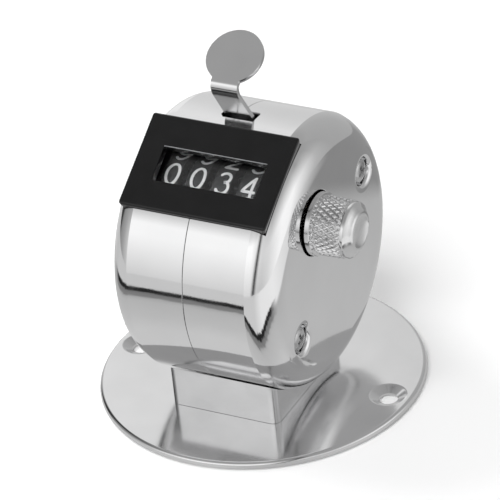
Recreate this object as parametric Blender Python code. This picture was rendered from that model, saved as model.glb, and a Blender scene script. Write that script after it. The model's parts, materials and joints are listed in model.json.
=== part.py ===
"""Desk tally counter: a round steel case on a pedestal and disc base, with its counting mechanism.

Frame: the disc's underside is centred on the origin, +Z is up, the number window faces -Y and
the reset knob is on +X. Every size is in metres.
"""

import math

import bmesh
import bpy
from mathutils import Matrix, Vector

MM = 0.001
GAP = 0.3 * MM
STEPS = 18

# Heights below are measured from a datum this far under the disc; group() lowers the pieces by it
DATUM = 1.2 * MM

# Base disc and pedestal
DISC_RADIUS = 30.0 * MM
DISC_BOTTOM = DATUM
DISC_TOP = DISC_BOTTOM + 1.2 * MM
DISC_ROUNDING = 0.7 * MM
DISC_CHAMFER = 0.2 * MM
DISC_HOLE_OFFSET = 25.4 * MM
DISC_HOLE_RADIUS = 1.7 * MM
DISC_SINK_RADIUS = 3.3 * MM
DISC_SINK_DEPTH = 0.9 * MM
PEDESTAL_HALF_WIDTH = 10.8 * MM
PEDESTAL_FRONT = -15.5 * MM
PEDESTAL_BACK = 10.8 * MM
PEDESTAL_TOP = 10.8 * MM
PEDESTAL_CORNER = 1.6 * MM
BASE_SCREW_X = 5.5 * MM
BASE_SCREW_Y = -2.0 * MM
BASE_SCREW_RADIUS = 1.5 * MM
BASE_SCREW_BORE = 1.8 * MM
BASE_SCREW_HEAD = 2.3 * MM
BASE_SCREW_SEAT = 2.9 * MM
BASE_SCREW_TOP = 9.2 * MM
BASE_NUT_HALF = 2.75 * MM
BASE_NUT_BOTTOM = 6.7 * MM
BASE_NUT_TOP = 8.7 * MM

# Case: a drum on the X axis, in two shells that meet at the seam
CASE_Y = 0.57 * MM
CASE_Z = 30.05 * MM
CASE_RADIUS = 25.17 * MM
CASE_HALF_WIDTH = 16.65 * MM
CASE_FILLET = 6.5 * MM
CASE_WALL = 0.9 * MM
CASE_STEPS = 56
FILLET_STEPS = 4
SEAM_X = -0.5 * MM
SEAM_GAP = 0.3 * MM

# Case screws, on a circle about the case axis
CASE_SCREW_CIRCLE = 16.85 * MM
CASE_SCREW_ANGLE = math.radians(33.0)
CASE_SCREW_HEAD_RADIUS = 2.2 * MM
CASE_SCREW_SEAT_X = 14.6 * MM
CASE_POST_RADIUS = 2.0 * MM

# Bezel: a block whose face slopes; its frame is (across X, up the slope, out of the face)
BEZEL_SLOPE = math.radians(31.9)
BEZEL_Y = -11.6 * MM
BEZEL_Z = 51.65 * MM
BEZEL_HALF_WIDTH = 14.55 * MM
BEZEL_HALF_LENGTH = 9.25 * MM
BEZEL_DEPTH = 4.3 * MM
WINDOW_X = 0.3 * MM
WINDOW_UP = -0.34 * MM
WINDOW_HALF_WIDTH = 10.15 * MM
WINDOW_HALF_LENGTH = 3.37 * MM
LENS_RECESS = 1.6 * MM
LENS_THICKNESS = 1.0 * MM
LENS_REBATE = 1.3 * MM

# Lever slot in the top of the case, corners as (x, y)
SLOT = [(-2.9, 0.4), (3.1, 0.4), (3.1, 3.2), (2.8, 3.9), (-3.6, 3.9), (-3.6, 1.2)]

# Number wheels on the shaft that the reset knob turns
SHAFT_Y = -4.7 * MM
SHAFT_Z = 39.96 * MM
SHAFT_RADIUS = 1.5 * MM
SHAFT_LEFT = -13.8 * MM
SHAFT_RIGHT = 22.0 * MM
WHEEL_RADIUS = 8.75 * MM
WHEEL_PITCH = 5.07 * MM
WHEEL_MIDDLE_X = -1.08 * MM
RIM_LEFT = 2.1 * MM
RIM_RIGHT = 1.5 * MM
GEAR_RIGHT = 2.6 * MM
WHEEL_NAMES = ["thousands", "hundreds", "tens", "units"]

# Carry gears: a 20-tooth ring on each wheel and an 8-tooth pinion beside it
GEAR_TEETH = 20
GEAR_TIP = 7.35 * MM
GEAR_ROOT = 6.3 * MM
PINION_TEETH = 8
PINION_TIP = 3.1 * MM
PINION_ROOT = 2.1 * MM
GEAR_DISTANCE = 9.8 * MM
PINION_ANGLE = math.radians(-35.0)
PINION_SHAFT_RADIUS = 1.0 * MM
RATCHET_TEETH = 10
RATCHET_TIP = 5.6 * MM
RATCHET_ROOT = 4.5 * MM
RATCHET_LEFT = 8.33 * MM
RATCHET_RIGHT = 9.33 * MM

# Reset knob, sizes measured out from the case's side face
KNOB_HOLE_RADIUS = 6.3 * MM
KNOB_FLANGE_RADIUS = 5.75 * MM
KNOB_GRIP_RADIUS = 5.4 * MM
KNOB_FACE_RADIUS = 3.4 * MM
KNOB_HUB_RADIUS = 3.0 * MM
KNOB_FLANGE_START = 0.5 * MM
KNOB_FLANGE_END = 1.25 * MM
KNOB_GRIP_END = 7.7 * MM
KNOB_END = 8.75 * MM
KNOB_HUB_X = 12.6 * MM

# Inner frame
PLATE_THICKNESS = 0.8 * MM
LEFT_PLATE_X = -11.9 * MM
RIGHT_PLATE_X = 9.9 * MM
PLATE_OUTLINE = [
    (-20.3, 39.0), (-20.0, 41.7), (-17.4, 42.5), (-13.5, 42.2), (-9.0, 44.4), (5.0, 44.4),
    (12.0, 42.6), (17.2, 42.4), (18.4, 39.5), (17.2, 36.6), (10.0, 32.0), (5.5, 30.0),
    (-7.5, 22.5), (-11.0, 17.9), (-15.0, 17.6), (-16.9, 20.6), (-15.0, 27.0),
    (-11.0, 34.5), (-15.5, 37.6),
]
TIE_RODS = {"tie_rod_lower": (-9.0 * MM, 24.5 * MM), "tie_rod_rear": (11.0 * MM, 36.8 * MM)}
TIE_ROD_RADIUS = 1.1 * MM

# Thumb lever: a pad, a bent stem and a yoke that straddles the wheels
PIVOT_Y = -17.4 * MM
PIVOT_Z = 40.2 * MM
PIVOT_RADIUS = 0.9 * MM
PAD_Y = 1.79 * MM
PAD_Z = 67.26 * MM
PAD_RADIUS = 5.31 * MM
PAD_TILT = math.radians(31.2)
LEVER_THICKNESS = 0.8 * MM
YOKE_LEFT_X = -13.0 * MM
YOKE_RIGHT_X = 11.8 * MM
PAWL_PIN_Y = 3.2 * MM
PAWL_PIN_Z = 49.7 * MM
PAWL_PIN_RADIUS = 0.7 * MM

# Torsion spring on the pivot pin
SPRING_WIRE = 0.15 * MM
SPRING_COIL = 1.35 * MM
SPRING_LEFT = -14.15 * MM
SPRING_RIGHT = -13.45 * MM
SPRING_TURNS = 2


def material(name, colour, metallic, roughness):
    made = bpy.data.materials.new(name)
    made.use_nodes = True
    shader = made.node_tree.nodes["Principled BSDF"]
    shader.inputs["Base Color"].default_value = (*colour, 1.0)
    shader.inputs["Metallic"].default_value = metallic
    shader.inputs["Roughness"].default_value = roughness
    made.diffuse_color = (*colour, 1.0)
    return made


def solid(name, work, look=None):
    """Turns a closed bmesh into an object whose faces point out."""
    bmesh.ops.recalc_face_normals(work, faces=work.faces)
    mesh = bpy.data.meshes.new(name)
    work.to_mesh(mesh)
    work.free()
    made = bpy.data.objects.new(name, mesh)
    bpy.context.collection.objects.link(made)
    if look:
        mesh.materials.append(look)
    return made


def on_axis(axis, along, radius, angle, centre):
    """A point at a radius and angle about a line parallel to X or Z."""
    first = centre[0] + radius * math.cos(angle)
    second = centre[1] + radius * math.sin(angle)
    if axis == "X":
        return (along, first, second)
    return (first, second, along)


def turned(name, profile, look=None, axis="X", centre=(0.0, 0.0), steps=STEPS, ring=False):
    """Turns (along, radius) points about an axis; a ring profile closes on itself."""
    work = bmesh.new()
    loops = []
    for along, radius in profile:
        if radius == 0.0:
            loops.append([work.verts.new(on_axis(axis, along, 0.0, 0.0, centre))])
            continue
        angles = [2.0 * math.pi * step / steps for step in range(steps)]
        loops.append([work.verts.new(on_axis(axis, along, radius, angle, centre)) for angle in angles])
    pairs = list(zip(loops, loops[1:]))
    if ring:
        pairs.append((loops[-1], loops[0]))
    for lower, upper in pairs:
        if len(lower) == len(upper) == 1:
            continue
        for step in range(steps):
            after = (step + 1) % steps
            corners = [lower[step % len(lower)], lower[after % len(lower)]]
            corners += [upper[after % len(upper)], upper[step % len(upper)]]
            work.faces.new(list(dict.fromkeys(corners)))
    return solid(name, work, look)


def rod(name, centre, low, high, radius, look=None, axis="X", steps=STEPS):
    profile = [(low, 0.0), (low, radius), (high, radius), (high, 0.0)]
    return turned(name, profile, look, axis, centre, steps)


def tube(name, centre, low, high, outer, inner, look=None, axis="X", steps=STEPS):
    profile = [(low, inner), (low, outer), (high, outer), (high, inner)]
    return turned(name, profile, look, axis, centre, steps, ring=True)


def prism(name, outline, low, high, look=None, axis="X"):
    """Extrudes an outline of (y, z) points along X, or of (x, y) points along Z."""
    work = bmesh.new()
    ends = []
    for level in (low, high):
        if axis == "X":
            ends.append([work.verts.new((level, a, b)) for a, b in outline])
        else:
            ends.append([work.verts.new((a, b, level)) for a, b in outline])
    work.faces.new(ends[0])
    work.faces.new(ends[1])
    count = len(outline)
    for step in range(count):
        after = (step + 1) % count
        work.faces.new([ends[0][step], ends[0][after], ends[1][after], ends[1][step]])
    return solid(name, work, look)


def block(name, low, high, look=None):
    outline = [(low[0], low[1]), (high[0], low[1]), (high[0], high[1]), (low[0], high[1])]
    return prism(name, outline, low[2], high[2], look, axis="Z")


def combine(target, tool, operation):
    """Applies an exact Boolean and removes the tool."""
    step = target.modifiers.new("step", "BOOLEAN")
    step.operation = operation
    step.object = tool
    step.solver = "EXACT"
    bpy.context.view_layer.update()
    graph = bpy.context.evaluated_depsgraph_get()
    result = bpy.data.meshes.new_from_object(target.evaluated_get(graph))
    target.modifiers.clear()
    result.name = target.name
    target.data = result
    bpy.data.objects.remove(tool)


def cut(target, *tools):
    for tool in tools:
        combine(target, tool, "DIFFERENCE")


def fuse(target, *tools):
    for tool in tools:
        combine(target, tool, "UNION")


def move(target, matrix):
    target.data.transform(matrix)


def shade(target, angle=35.0):
    target.data.shade_smooth()
    target.data.set_sharp_from_angle(angle=math.radians(angle))


def pivot_at(target, point):
    """Puts the object's origin on its joint's axis without moving the piece."""
    target.data.transform(Matrix.Translation(-Vector(point)))
    target.location = point


def group(name, point, members):
    """Parents pieces that belong together to an empty, and lowers them from the datum to z = 0."""
    holder = bpy.data.objects.new(name, None)
    holder.empty_display_size = 4.0 * MM
    holder.location = Vector(point) - Vector((0.0, 0.0, DATUM))
    bpy.context.collection.objects.link(holder)
    for member in members:
        member.parent = holder
        member.location = member.location - Vector(point)


def arc(centre, radius, start, end, steps):
    """Points from one angle to another, in degrees."""
    points = []
    for step in range(steps + 1):
        angle = math.radians(start + (end - start) * step / steps)
        points.append((centre[0] + radius * math.cos(angle), centre[1] + radius * math.sin(angle)))
    return points


def millimetres(points):
    return [(a * MM, b * MM) for a, b in points]


def bezel_frame():
    """Places a block made about the origin onto the sloping face of the case."""
    return Matrix.Translation((0.0, BEZEL_Y, BEZEL_Z)) @ Matrix.Rotation(BEZEL_SLOPE, 4, "X")


def bezel_block(name, half_width, half_length, bottom, top, x=0.0, up=0.0, look=None):
    low = (x - half_width, up - half_length, bottom)
    high = (x + half_width, up + half_length, top)
    made = block(name, low, high, look)
    move(made, bezel_frame())
    return made


def case_screw_places():
    """(y, z) of the lower front and the upper rear case screw."""
    reach_y = CASE_SCREW_CIRCLE * math.cos(CASE_SCREW_ANGLE)
    reach_z = CASE_SCREW_CIRCLE * math.sin(CASE_SCREW_ANGLE)
    upper = (CASE_Y + reach_y, CASE_Z + reach_z)
    lower = (CASE_Y - reach_y, CASE_Z - reach_z)
    return {"upper": upper, "lower": lower}


def pinion_place():
    y = SHAFT_Y + GEAR_DISTANCE * math.cos(PINION_ANGLE)
    z = SHAFT_Z + GEAR_DISTANCE * math.sin(PINION_ANGLE)
    return (y, z)


def wheel_x(number):
    return WHEEL_MIDDLE_X + (number - 1.5) * WHEEL_PITCH


# Base

def build_base_plate(look):
    """Thin disc with a rounded upper edge, two countersunk holes and two screw seats underneath."""
    corner = (DISC_RADIUS - DISC_ROUNDING, DISC_TOP - DISC_ROUNDING)
    rounding = [(height, radius) for radius, height in arc(corner, DISC_ROUNDING, 0, 90, 3)]
    profile = [
        (DISC_BOTTOM, 0.0), (DISC_BOTTOM, DISC_RADIUS - DISC_CHAMFER),
        (DISC_BOTTOM + DISC_CHAMFER, DISC_RADIUS),
    ]
    profile += rounding + [(DISC_TOP, 0.0)]
    plate = turned("base_plate", profile, look, axis="Z", steps=64)
    over = 1.0 * MM
    flare = (DISC_SINK_RADIUS - DISC_HOLE_RADIUS) / DISC_SINK_DEPTH
    for side in (-1.0, 1.0):
        place = (side * DISC_HOLE_OFFSET, 0.0)
        cone = [
            (DISC_BOTTOM - over, 0.0), (DISC_BOTTOM - over, DISC_HOLE_RADIUS),
            (DISC_TOP - DISC_SINK_DEPTH, DISC_HOLE_RADIUS),
            (DISC_TOP + over, DISC_SINK_RADIUS + over * flare), (DISC_TOP + over, 0.0),
        ]
        cut(plate, turned("tool", cone, axis="Z", centre=place))
    for side in (-1.0, 1.0):
        place = (side * BASE_SCREW_X, BASE_SCREW_Y)
        seat = [
            (DISC_BOTTOM - over, 0.0), (DISC_BOTTOM - over, BASE_SCREW_SEAT),
            (DISC_BOTTOM + 0.1 * MM, BASE_SCREW_SEAT), (DISC_BOTTOM + 1.1 * MM, BASE_SCREW_BORE),
            (DISC_TOP + over, BASE_SCREW_BORE), (DISC_TOP + over, 0.0),
        ]
        cut(plate, turned("tool", seat, axis="Z", centre=place))
    return plate


def build_pedestal(look):
    """Block with rounded upright corners and a saddle that the round case sits in."""
    outline = []
    corners = [
        (PEDESTAL_HALF_WIDTH, PEDESTAL_BACK, 0), (-PEDESTAL_HALF_WIDTH, PEDESTAL_BACK, 90),
        (-PEDESTAL_HALF_WIDTH, PEDESTAL_FRONT, 180), (PEDESTAL_HALF_WIDTH, PEDESTAL_FRONT, 270),
    ]
    for x, y, start in corners:
        centre = (x - math.copysign(PEDESTAL_CORNER, x), y - math.copysign(PEDESTAL_CORNER, y))
        outline += arc(centre, PEDESTAL_CORNER, start, start + 90, 4)
    pedestal = prism("pedestal", outline, DISC_TOP + GAP, PEDESTAL_TOP, look, axis="Z")
    reach = CASE_HALF_WIDTH
    saddle = rod("tool", (CASE_Y, CASE_Z), -reach, reach, CASE_RADIUS + GAP, steps=72)
    cut(pedestal, saddle)
    for side in (-1.0, 1.0):
        place = (side * BASE_SCREW_X, BASE_SCREW_Y)
        cut(pedestal, rod("tool", place, 0.0, PEDESTAL_TOP, BASE_SCREW_BORE, axis="Z"))
    return pedestal


def build_base_screw(name, side, look):
    """Countersunk screw, driven up from under the disc, with a cross recess."""
    place = (side * BASE_SCREW_X, BASE_SCREW_Y)
    under = DISC_BOTTOM + 0.1 * MM
    profile = [
        (under, 0.0), (under, BASE_SCREW_HEAD), (under + 0.1 * MM, BASE_SCREW_HEAD),
        (under + 0.85 * MM, BASE_SCREW_RADIUS), (BASE_SCREW_TOP, BASE_SCREW_RADIUS),
        (BASE_SCREW_TOP, 0.0),
    ]
    screw = turned(name, profile, look, axis="Z", centre=place)
    long_half = 1.3 * MM
    short_half = 0.3 * MM
    for half_x, half_y in ((long_half, short_half), (short_half, long_half)):
        low = (place[0] - half_x, place[1] - half_y, 0.0)
        high = (place[0] + half_x, place[1] + half_y, under + 0.6 * MM)
        cut(screw, block("tool", low, high))
    return screw


def build_base_nut(name, side, look):
    """Square nut on the floor of the case."""
    x = side * BASE_SCREW_X
    low = (x - BASE_NUT_HALF, BASE_SCREW_Y - BASE_NUT_HALF, BASE_NUT_BOTTOM)
    high = (x + BASE_NUT_HALF, BASE_SCREW_Y + BASE_NUT_HALF, BASE_NUT_TOP)
    nut = block(name, low, high, look)
    bore = rod("tool", (x, BASE_SCREW_Y), 0.0, PEDESTAL_TOP, BASE_SCREW_BORE, axis="Z")
    cut(nut, bore)
    return nut


# Case

def shell_profile(side):
    """Closed wall section of one shell, from the seam round the fillet to the axis."""
    flat = CASE_HALF_WIDTH - CASE_FILLET
    core = CASE_RADIUS - CASE_FILLET
    edge = SEAM_X + side * SEAM_GAP / 2.0
    outer = arc((flat, core), CASE_FILLET, 90, 0, FILLET_STEPS)
    inner = arc((flat, core), CASE_FILLET - CASE_WALL, 0, 90, FILLET_STEPS)
    points = [(edge, CASE_RADIUS)]
    points += [(side * x, radius) for x, radius in outer]
    points += [(side * CASE_HALF_WIDTH, 0.0), (side * (CASE_HALF_WIDTH - CASE_WALL), 0.0)]
    points += [(side * x, radius) for x, radius in inner]
    points.append((edge, CASE_RADIUS - CASE_WALL))
    return points


def lathe_shell(name, side, look):
    return turned(name, shell_profile(side), look, centre=(CASE_Y, CASE_Z), steps=CASE_STEPS, ring=True)


def cut_common_openings(shell, side):
    """Cuts the bezel's seat, the lever's slot and the hole for the base screw."""
    margin = GAP
    seat = bezel_block(
        "tool", BEZEL_HALF_WIDTH + margin, BEZEL_HALF_LENGTH + margin,
        -BEZEL_DEPTH - margin, 20.0 * MM,
    )
    cut(shell, seat)
    cut(shell, prism("tool", millimetres(SLOT), 50.0 * MM, 60.0 * MM, axis="Z"))
    place = (side * BASE_SCREW_X, BASE_SCREW_Y)
    cut(shell, rod("tool", place, 0.0, 12.0 * MM, BASE_SCREW_BORE, axis="Z"))


def build_left_shell(look):
    shell = lathe_shell("left_shell", -1.0, look)
    cut_common_openings(shell, -1.0)
    return shell


def build_right_shell(look):
    """Right shell, with the knob's hole and a dished seat for each case screw."""
    shell = lathe_shell("right_shell", 1.0, look)
    cut_common_openings(shell, 1.0)
    hole = rod("tool", (SHAFT_Y, SHAFT_Z), 10.0 * MM, 20.0 * MM, KNOB_HOLE_RADIUS, steps=36)
    cut(shell, hole)
    floor = CASE_SCREW_SEAT_X
    inside = floor - CASE_WALL
    for place in case_screw_places().values():
        cup_radius = 4.0 * MM
        fuse(shell, rod("tool", place, inside, CASE_HALF_WIDTH - 0.75 * MM, cup_radius))
        dish = [
            (floor, 0.0), (floor, 2.6 * MM), (CASE_HALF_WIDTH - 0.5 * MM, 2.7 * MM),
            (CASE_HALF_WIDTH + 0.5 * MM, 3.4 * MM), (CASE_HALF_WIDTH + 0.5 * MM, 0.0),
        ]
        cut(shell, turned("tool", dish, centre=place))
        cut(shell, rod("tool", place, 10.0 * MM, 16.0 * MM, 1.3 * MM))
    return shell


def build_case_post(name, place, look):
    """Threaded pillar that runs across the case to take a case screw."""
    left = -CASE_HALF_WIDTH + CASE_WALL + GAP
    right = CASE_SCREW_SEAT_X - CASE_WALL - GAP
    post = rod(name, place, left, right, CASE_POST_RADIUS, look)
    cut(post, rod("tool", place, 7.8 * MM, 16.0 * MM, 1.3 * MM))
    return post


def build_case_screw(name, place, look):
    """Pan-head screw with a cross recess, sunk in its dished seat."""
    under = CASE_SCREW_SEAT_X + GAP
    top = under + 1.1 * MM
    profile = [
        (8.4 * MM, 0.0), (8.4 * MM, 1.0 * MM), (under, 1.0 * MM), (under, CASE_SCREW_HEAD_RADIUS),
        (under + 0.5 * MM, CASE_SCREW_HEAD_RADIUS), (top - 0.2 * MM, 1.7 * MM),
        (top, 0.9 * MM), (top, 0.0),
    ]
    screw = turned(name, profile, look, centre=place)
    for half_y, half_z in ((1.2 * MM, 0.28 * MM), (0.28 * MM, 1.2 * MM)):
        low = (top - 0.6 * MM, place[0] - half_y, place[1] - half_z)
        high = (top + 0.5 * MM, place[0] + half_y, place[1] + half_z)
        cut(screw, block("tool", low, high))
    return screw


def build_bezel(look):
    """Window block with a chamfered face, an opening and a rebate behind it for the lens."""
    bezel = bezel_block(
        "window_bezel", BEZEL_HALF_WIDTH, BEZEL_HALF_LENGTH, -BEZEL_DEPTH, 0.0, look=look
    )
    chamfer = bezel.modifiers.new("edge", "BEVEL")
    chamfer.width = 0.5 * MM
    chamfer.segments = 1
    chamfer.limit_method = "ANGLE"
    bpy.context.view_layer.update()
    graph = bpy.context.evaluated_depsgraph_get()
    bevelled = bpy.data.meshes.new_from_object(bezel.evaluated_get(graph))
    bezel.modifiers.clear()
    bezel.data = bevelled
    opening = bezel_block(
        "tool", WINDOW_HALF_WIDTH, WINDOW_HALF_LENGTH, -10.0 * MM, 5.0 * MM, WINDOW_X, WINDOW_UP
    )
    rebate = bezel_block(
        "tool", WINDOW_HALF_WIDTH + LENS_REBATE, WINDOW_HALF_LENGTH + LENS_REBATE,
        -10.0 * MM, -LENS_RECESS, WINDOW_X, WINDOW_UP,
    )
    cut(bezel, opening, rebate)
    return bezel


def build_lens(look):
    """Clear window in the bezel's rebate."""
    inset = LENS_REBATE - GAP
    top = -LENS_RECESS - GAP
    return bezel_block(
        "window_lens", WINDOW_HALF_WIDTH + inset, WINDOW_HALF_LENGTH + inset,
        top - LENS_THICKNESS, top, WINDOW_X, WINDOW_UP, look,
    )


# Inner frame

def build_plate(name, left, look):
    """Side plate that carries the wheel shaft, the pinion shaft and the lever's pivot."""
    plate = prism(name, millimetres(PLATE_OUTLINE), left, left + PLATE_THICKNESS, look)
    holes = [((SHAFT_Y, SHAFT_Z), SHAFT_RADIUS), (pinion_place(), PINION_SHAFT_RADIUS)]
    holes.append(((PIVOT_Y, PIVOT_Z), PIVOT_RADIUS))
    holes += [(place, CASE_POST_RADIUS) for place in case_screw_places().values()]
    holes += [(place, TIE_ROD_RADIUS) for place in TIE_RODS.values()]
    for place, radius in holes:
        cut(plate, rod("tool", place, -20.0 * MM, 20.0 * MM, radius + GAP))
    return plate


def build_tie_rod(name, place, look):
    return rod(name, place, LEFT_PLATE_X, RIGHT_PLATE_X + PLATE_THICKNESS, TIE_ROD_RADIUS, look)


# Number wheels, carry gears and reset knob

def toothed_outline(centre, teeth, tip, root, first, tip_share, root_share):
    """Outline of straight-sided teeth; shares are parts of the angle from tooth to tooth."""
    pitch = 2.0 * math.pi / teeth
    points = []
    for tooth in range(teeth):
        middle = first + tooth * pitch
        for share, radius in ((-root_share, root), (-tip_share, tip), (tip_share, tip), (root_share, root)):
            angle = middle + share * pitch / 2.0
            points.append((centre[0] + radius * math.cos(angle), centre[1] + radius * math.sin(angle)))
    return points


def build_wheel(name, number, look):
    """Number wheel: a rim for the digits and, left of the units, a gear ring for the carry."""
    x = wheel_x(number)
    centre = (SHAFT_Y, SHAFT_Z)
    wheel = rod(name, centre, x - RIM_LEFT, x + RIM_RIGHT, WHEEL_RADIUS, look, steps=36)
    if number < len(WHEEL_NAMES) - 1:
        half_tooth = math.pi / GEAR_TEETH
        outline = toothed_outline(
            centre, GEAR_TEETH, GEAR_TIP, GEAR_ROOT, PINION_ANGLE + half_tooth, 0.25, 0.5
        )
        fuse(wheel, prism("tool", outline, x + RIM_RIGHT - 0.3 * MM, x + GEAR_RIGHT))
    cut(wheel, rod("tool", centre, -20.0 * MM, 20.0 * MM, SHAFT_RADIUS + GAP))
    pivot_at(wheel, (x, SHAFT_Y, SHAFT_Z))
    return wheel


def build_pinion(name, number, look):
    """Carry pinion in the gap to the right of its wheel, in mesh with that wheel's gear ring."""
    x = wheel_x(number)
    place = pinion_place()
    outline = toothed_outline(
        place, PINION_TEETH, PINION_TIP, PINION_ROOT, PINION_ANGLE + math.pi, 0.2, 0.45
    )
    pinion = prism(name, outline, x + RIM_RIGHT + GAP, x + GEAR_RIGHT, look)
    cut(pinion, rod("tool", place, -20.0 * MM, 20.0 * MM, PINION_SHAFT_RADIUS + GAP))
    pivot_at(pinion, (x, place[0], place[1]))
    return pinion


def build_ratchet(look):
    """Ten-tooth ratchet beside the units wheel; its steep faces point up at the back."""
    pitch = 2.0 * math.pi / RATCHET_TEETH
    outline = []
    for tooth in range(RATCHET_TEETH):
        steep = tooth * pitch + math.radians(24.0)
        outline.append((steep, RATCHET_TIP))
        outline.append((steep + math.radians(4.0), RATCHET_ROOT))
        outline.append((steep + pitch * 0.55, (RATCHET_ROOT + RATCHET_TIP) / 2.0 - 0.1 * MM))
    points = [(SHAFT_Y + r * math.cos(a), SHAFT_Z + r * math.sin(a)) for a, r in outline]
    wheel = prism("ratchet_wheel", points, RATCHET_LEFT, RATCHET_RIGHT, look)
    cut(wheel, rod("tool", (SHAFT_Y, SHAFT_Z), 0.0, 20.0 * MM, SHAFT_RADIUS + GAP))
    pivot_at(wheel, (RATCHET_LEFT, SHAFT_Y, SHAFT_Z))
    return wheel


def build_detent(look):
    """Leaf spring that holds the ratchet between counts."""
    stations = [(-8.6, 25.95, 0.5), (-8.0, 30.0, 0.5), (-5.9, 34.1, 0.5)]
    leaf = strip("ratchet_detent", stations, 0.4 * MM, look)
    move(leaf, Matrix.Translation(((RATCHET_LEFT + RATCHET_RIGHT) / 2.0, 0.0, 0.0)))
    return leaf


def build_shaft(look):
    shaft = rod("wheel_shaft", (SHAFT_Y, SHAFT_Z), SHAFT_LEFT, SHAFT_RIGHT, SHAFT_RADIUS, look)
    pivot_at(shaft, (0.0, SHAFT_Y, SHAFT_Z))
    return shaft


def build_shaft_clip(look):
    """Retaining ring on the left end of the wheel shaft."""
    left = SHAFT_LEFT + 0.5 * MM
    centre = (SHAFT_Y, SHAFT_Z)
    clip = tube("shaft_clip", centre, left, left + 0.6 * MM, 2.7 * MM, SHAFT_RADIUS + GAP, look)
    pivot_at(clip, (left, SHAFT_Y, SHAFT_Z))
    return clip


def build_knob(look):
    """Knob with a flange, a grip, a sloping collar and a shallow dish in its face."""
    face = CASE_HALF_WIDTH
    flange_start = face + KNOB_FLANGE_START
    bore = SHAFT_RADIUS + GAP
    profile = [
        (KNOB_HUB_X, bore), (KNOB_HUB_X, KNOB_HUB_RADIUS), (flange_start, KNOB_HUB_RADIUS),
        (flange_start, KNOB_FLANGE_RADIUS), (face + KNOB_FLANGE_END, KNOB_FLANGE_RADIUS),
        (face + KNOB_FLANGE_END, KNOB_GRIP_RADIUS), (face + KNOB_GRIP_END, KNOB_GRIP_RADIUS),
        (face + KNOB_END, KNOB_FACE_RADIUS), (face + KNOB_END, 3.0 * MM),
        (face + KNOB_END - 0.25 * MM, 2.7 * MM), (face + KNOB_END - 0.25 * MM, 0.0),
        (SHAFT_RIGHT + GAP, 0.0), (SHAFT_RIGHT + GAP, bore),
    ]
    knob = turned("reset_knob", profile, look, centre=(SHAFT_Y, SHAFT_Z), steps=36, ring=True)
    pivot_at(knob, (face, SHAFT_Y, SHAFT_Z))
    return knob


# Thumb lever

def strip(name, stations, thickness, look=None):
    """Bends flat sheet through (y, z, half width) stations, in millimetres."""
    work = bmesh.new()
    rows = []
    count = len(stations)
    for index, (y, z, half) in enumerate(stations):
        before = stations[max(index - 1, 0)]
        after = stations[min(index + 1, count - 1)]
        along = Vector((after[0] - before[0], after[1] - before[1])).normalized()
        back = Vector((-along.y, along.x)) * thickness
        row = []
        for side, layer in ((-1, 0), (1, 0), (1, 1), (-1, 1)):
            place = (side * half * MM, y * MM + layer * back.x, z * MM + layer * back.y)
            row.append(work.verts.new(place))
        rows.append(row)
    for lower, upper in zip(rows, rows[1:]):
        for corner in range(4):
            after = (corner + 1) % 4
            work.faces.new([lower[corner], lower[after], upper[after], upper[corner]])
    work.faces.new(rows[0])
    work.faces.new(rows[-1])
    return solid(name, work, look)


def yoke_outline():
    """Side arm, from the ear round the pivot, under the bezel, to the cross bar."""
    ear = arc((PIVOT_Y / MM, PIVOT_Z / MM), 2.1, 125, 300, 8)
    upper = [(4.6, 52.3), (1.0, 52.3), (-3.2, 50.9), (-10.0, 46.7)]
    lower = [(-10.0, 43.0), (-3.2, 47.2), (2.0, 49.2), (4.6, 49.2)]
    return millimetres(ear + lower + upper)


def build_lever(look):
    """Round pad, bent stem, cross bar and two arms, with bores for the pivot and the pawl pin."""
    profile = [
        (-LEVER_THICKNESS, 0.0), (-LEVER_THICKNESS, PAD_RADIUS - 0.1 * MM),
        (-0.7 * LEVER_THICKNESS, PAD_RADIUS), (-0.2 * MM, PAD_RADIUS),
        (0.0, PAD_RADIUS - 0.2 * MM), (0.0, 0.0),
    ]
    lever = turned("thumb_lever", profile, look, axis="Z", steps=32)
    tilt = Matrix.Translation((0.0, PAD_Y, PAD_Z)) @ Matrix.Rotation(PAD_TILT, 4, "X")
    move(lever, tilt)
    stem = [
        (-1.2, 65.43, 2.6), (-2.6, 64.57, 2.6), (-3.05, 64.05, 2.6), (-3.22, 63.2, 2.6),
        (-3.0, 62.2, 2.6), (-2.3, 60.8, 2.65), (-1.1, 58.9, 2.7), (0.3, 56.6, 2.7),
        (1.5, 54.2, 2.7), (2.4, 51.8, 2.7), (2.5, 49.9, 2.7),
    ]
    fuse(lever, strip("tool", stem, LEVER_THICKNESS))
    bar_low = (YOKE_LEFT_X + 0.1 * MM, 1.6 * MM, 51.5 * MM)
    bar_high = (YOKE_RIGHT_X - 0.1 * MM, 4.5 * MM, 52.3 * MM)
    fuse(lever, block("tool", bar_low, bar_high))
    for left in (YOKE_LEFT_X, YOKE_RIGHT_X - PLATE_THICKNESS):
        fuse(lever, prism("tool", yoke_outline(), left, left + PLATE_THICKNESS))
    cut(lever, rod("tool", (PIVOT_Y, PIVOT_Z), -20.0 * MM, 20.0 * MM, PIVOT_RADIUS + GAP))
    pawl_bore = PAWL_PIN_RADIUS + GAP
    cut(lever, rod("tool", (PAWL_PIN_Y, PAWL_PIN_Z), 11.0 * MM, 14.0 * MM, pawl_bore, steps=16))
    lever.data.materials.clear()
    lever.data.materials.append(look)
    pivot_at(lever, (0.0, PIVOT_Y, PIVOT_Z))
    return lever


def build_pivot_pin(look):
    return rod("lever_pivot_pin", (PIVOT_Y, PIVOT_Z), -14.3 * MM, 12.1 * MM, PIVOT_RADIUS, look)


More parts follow.
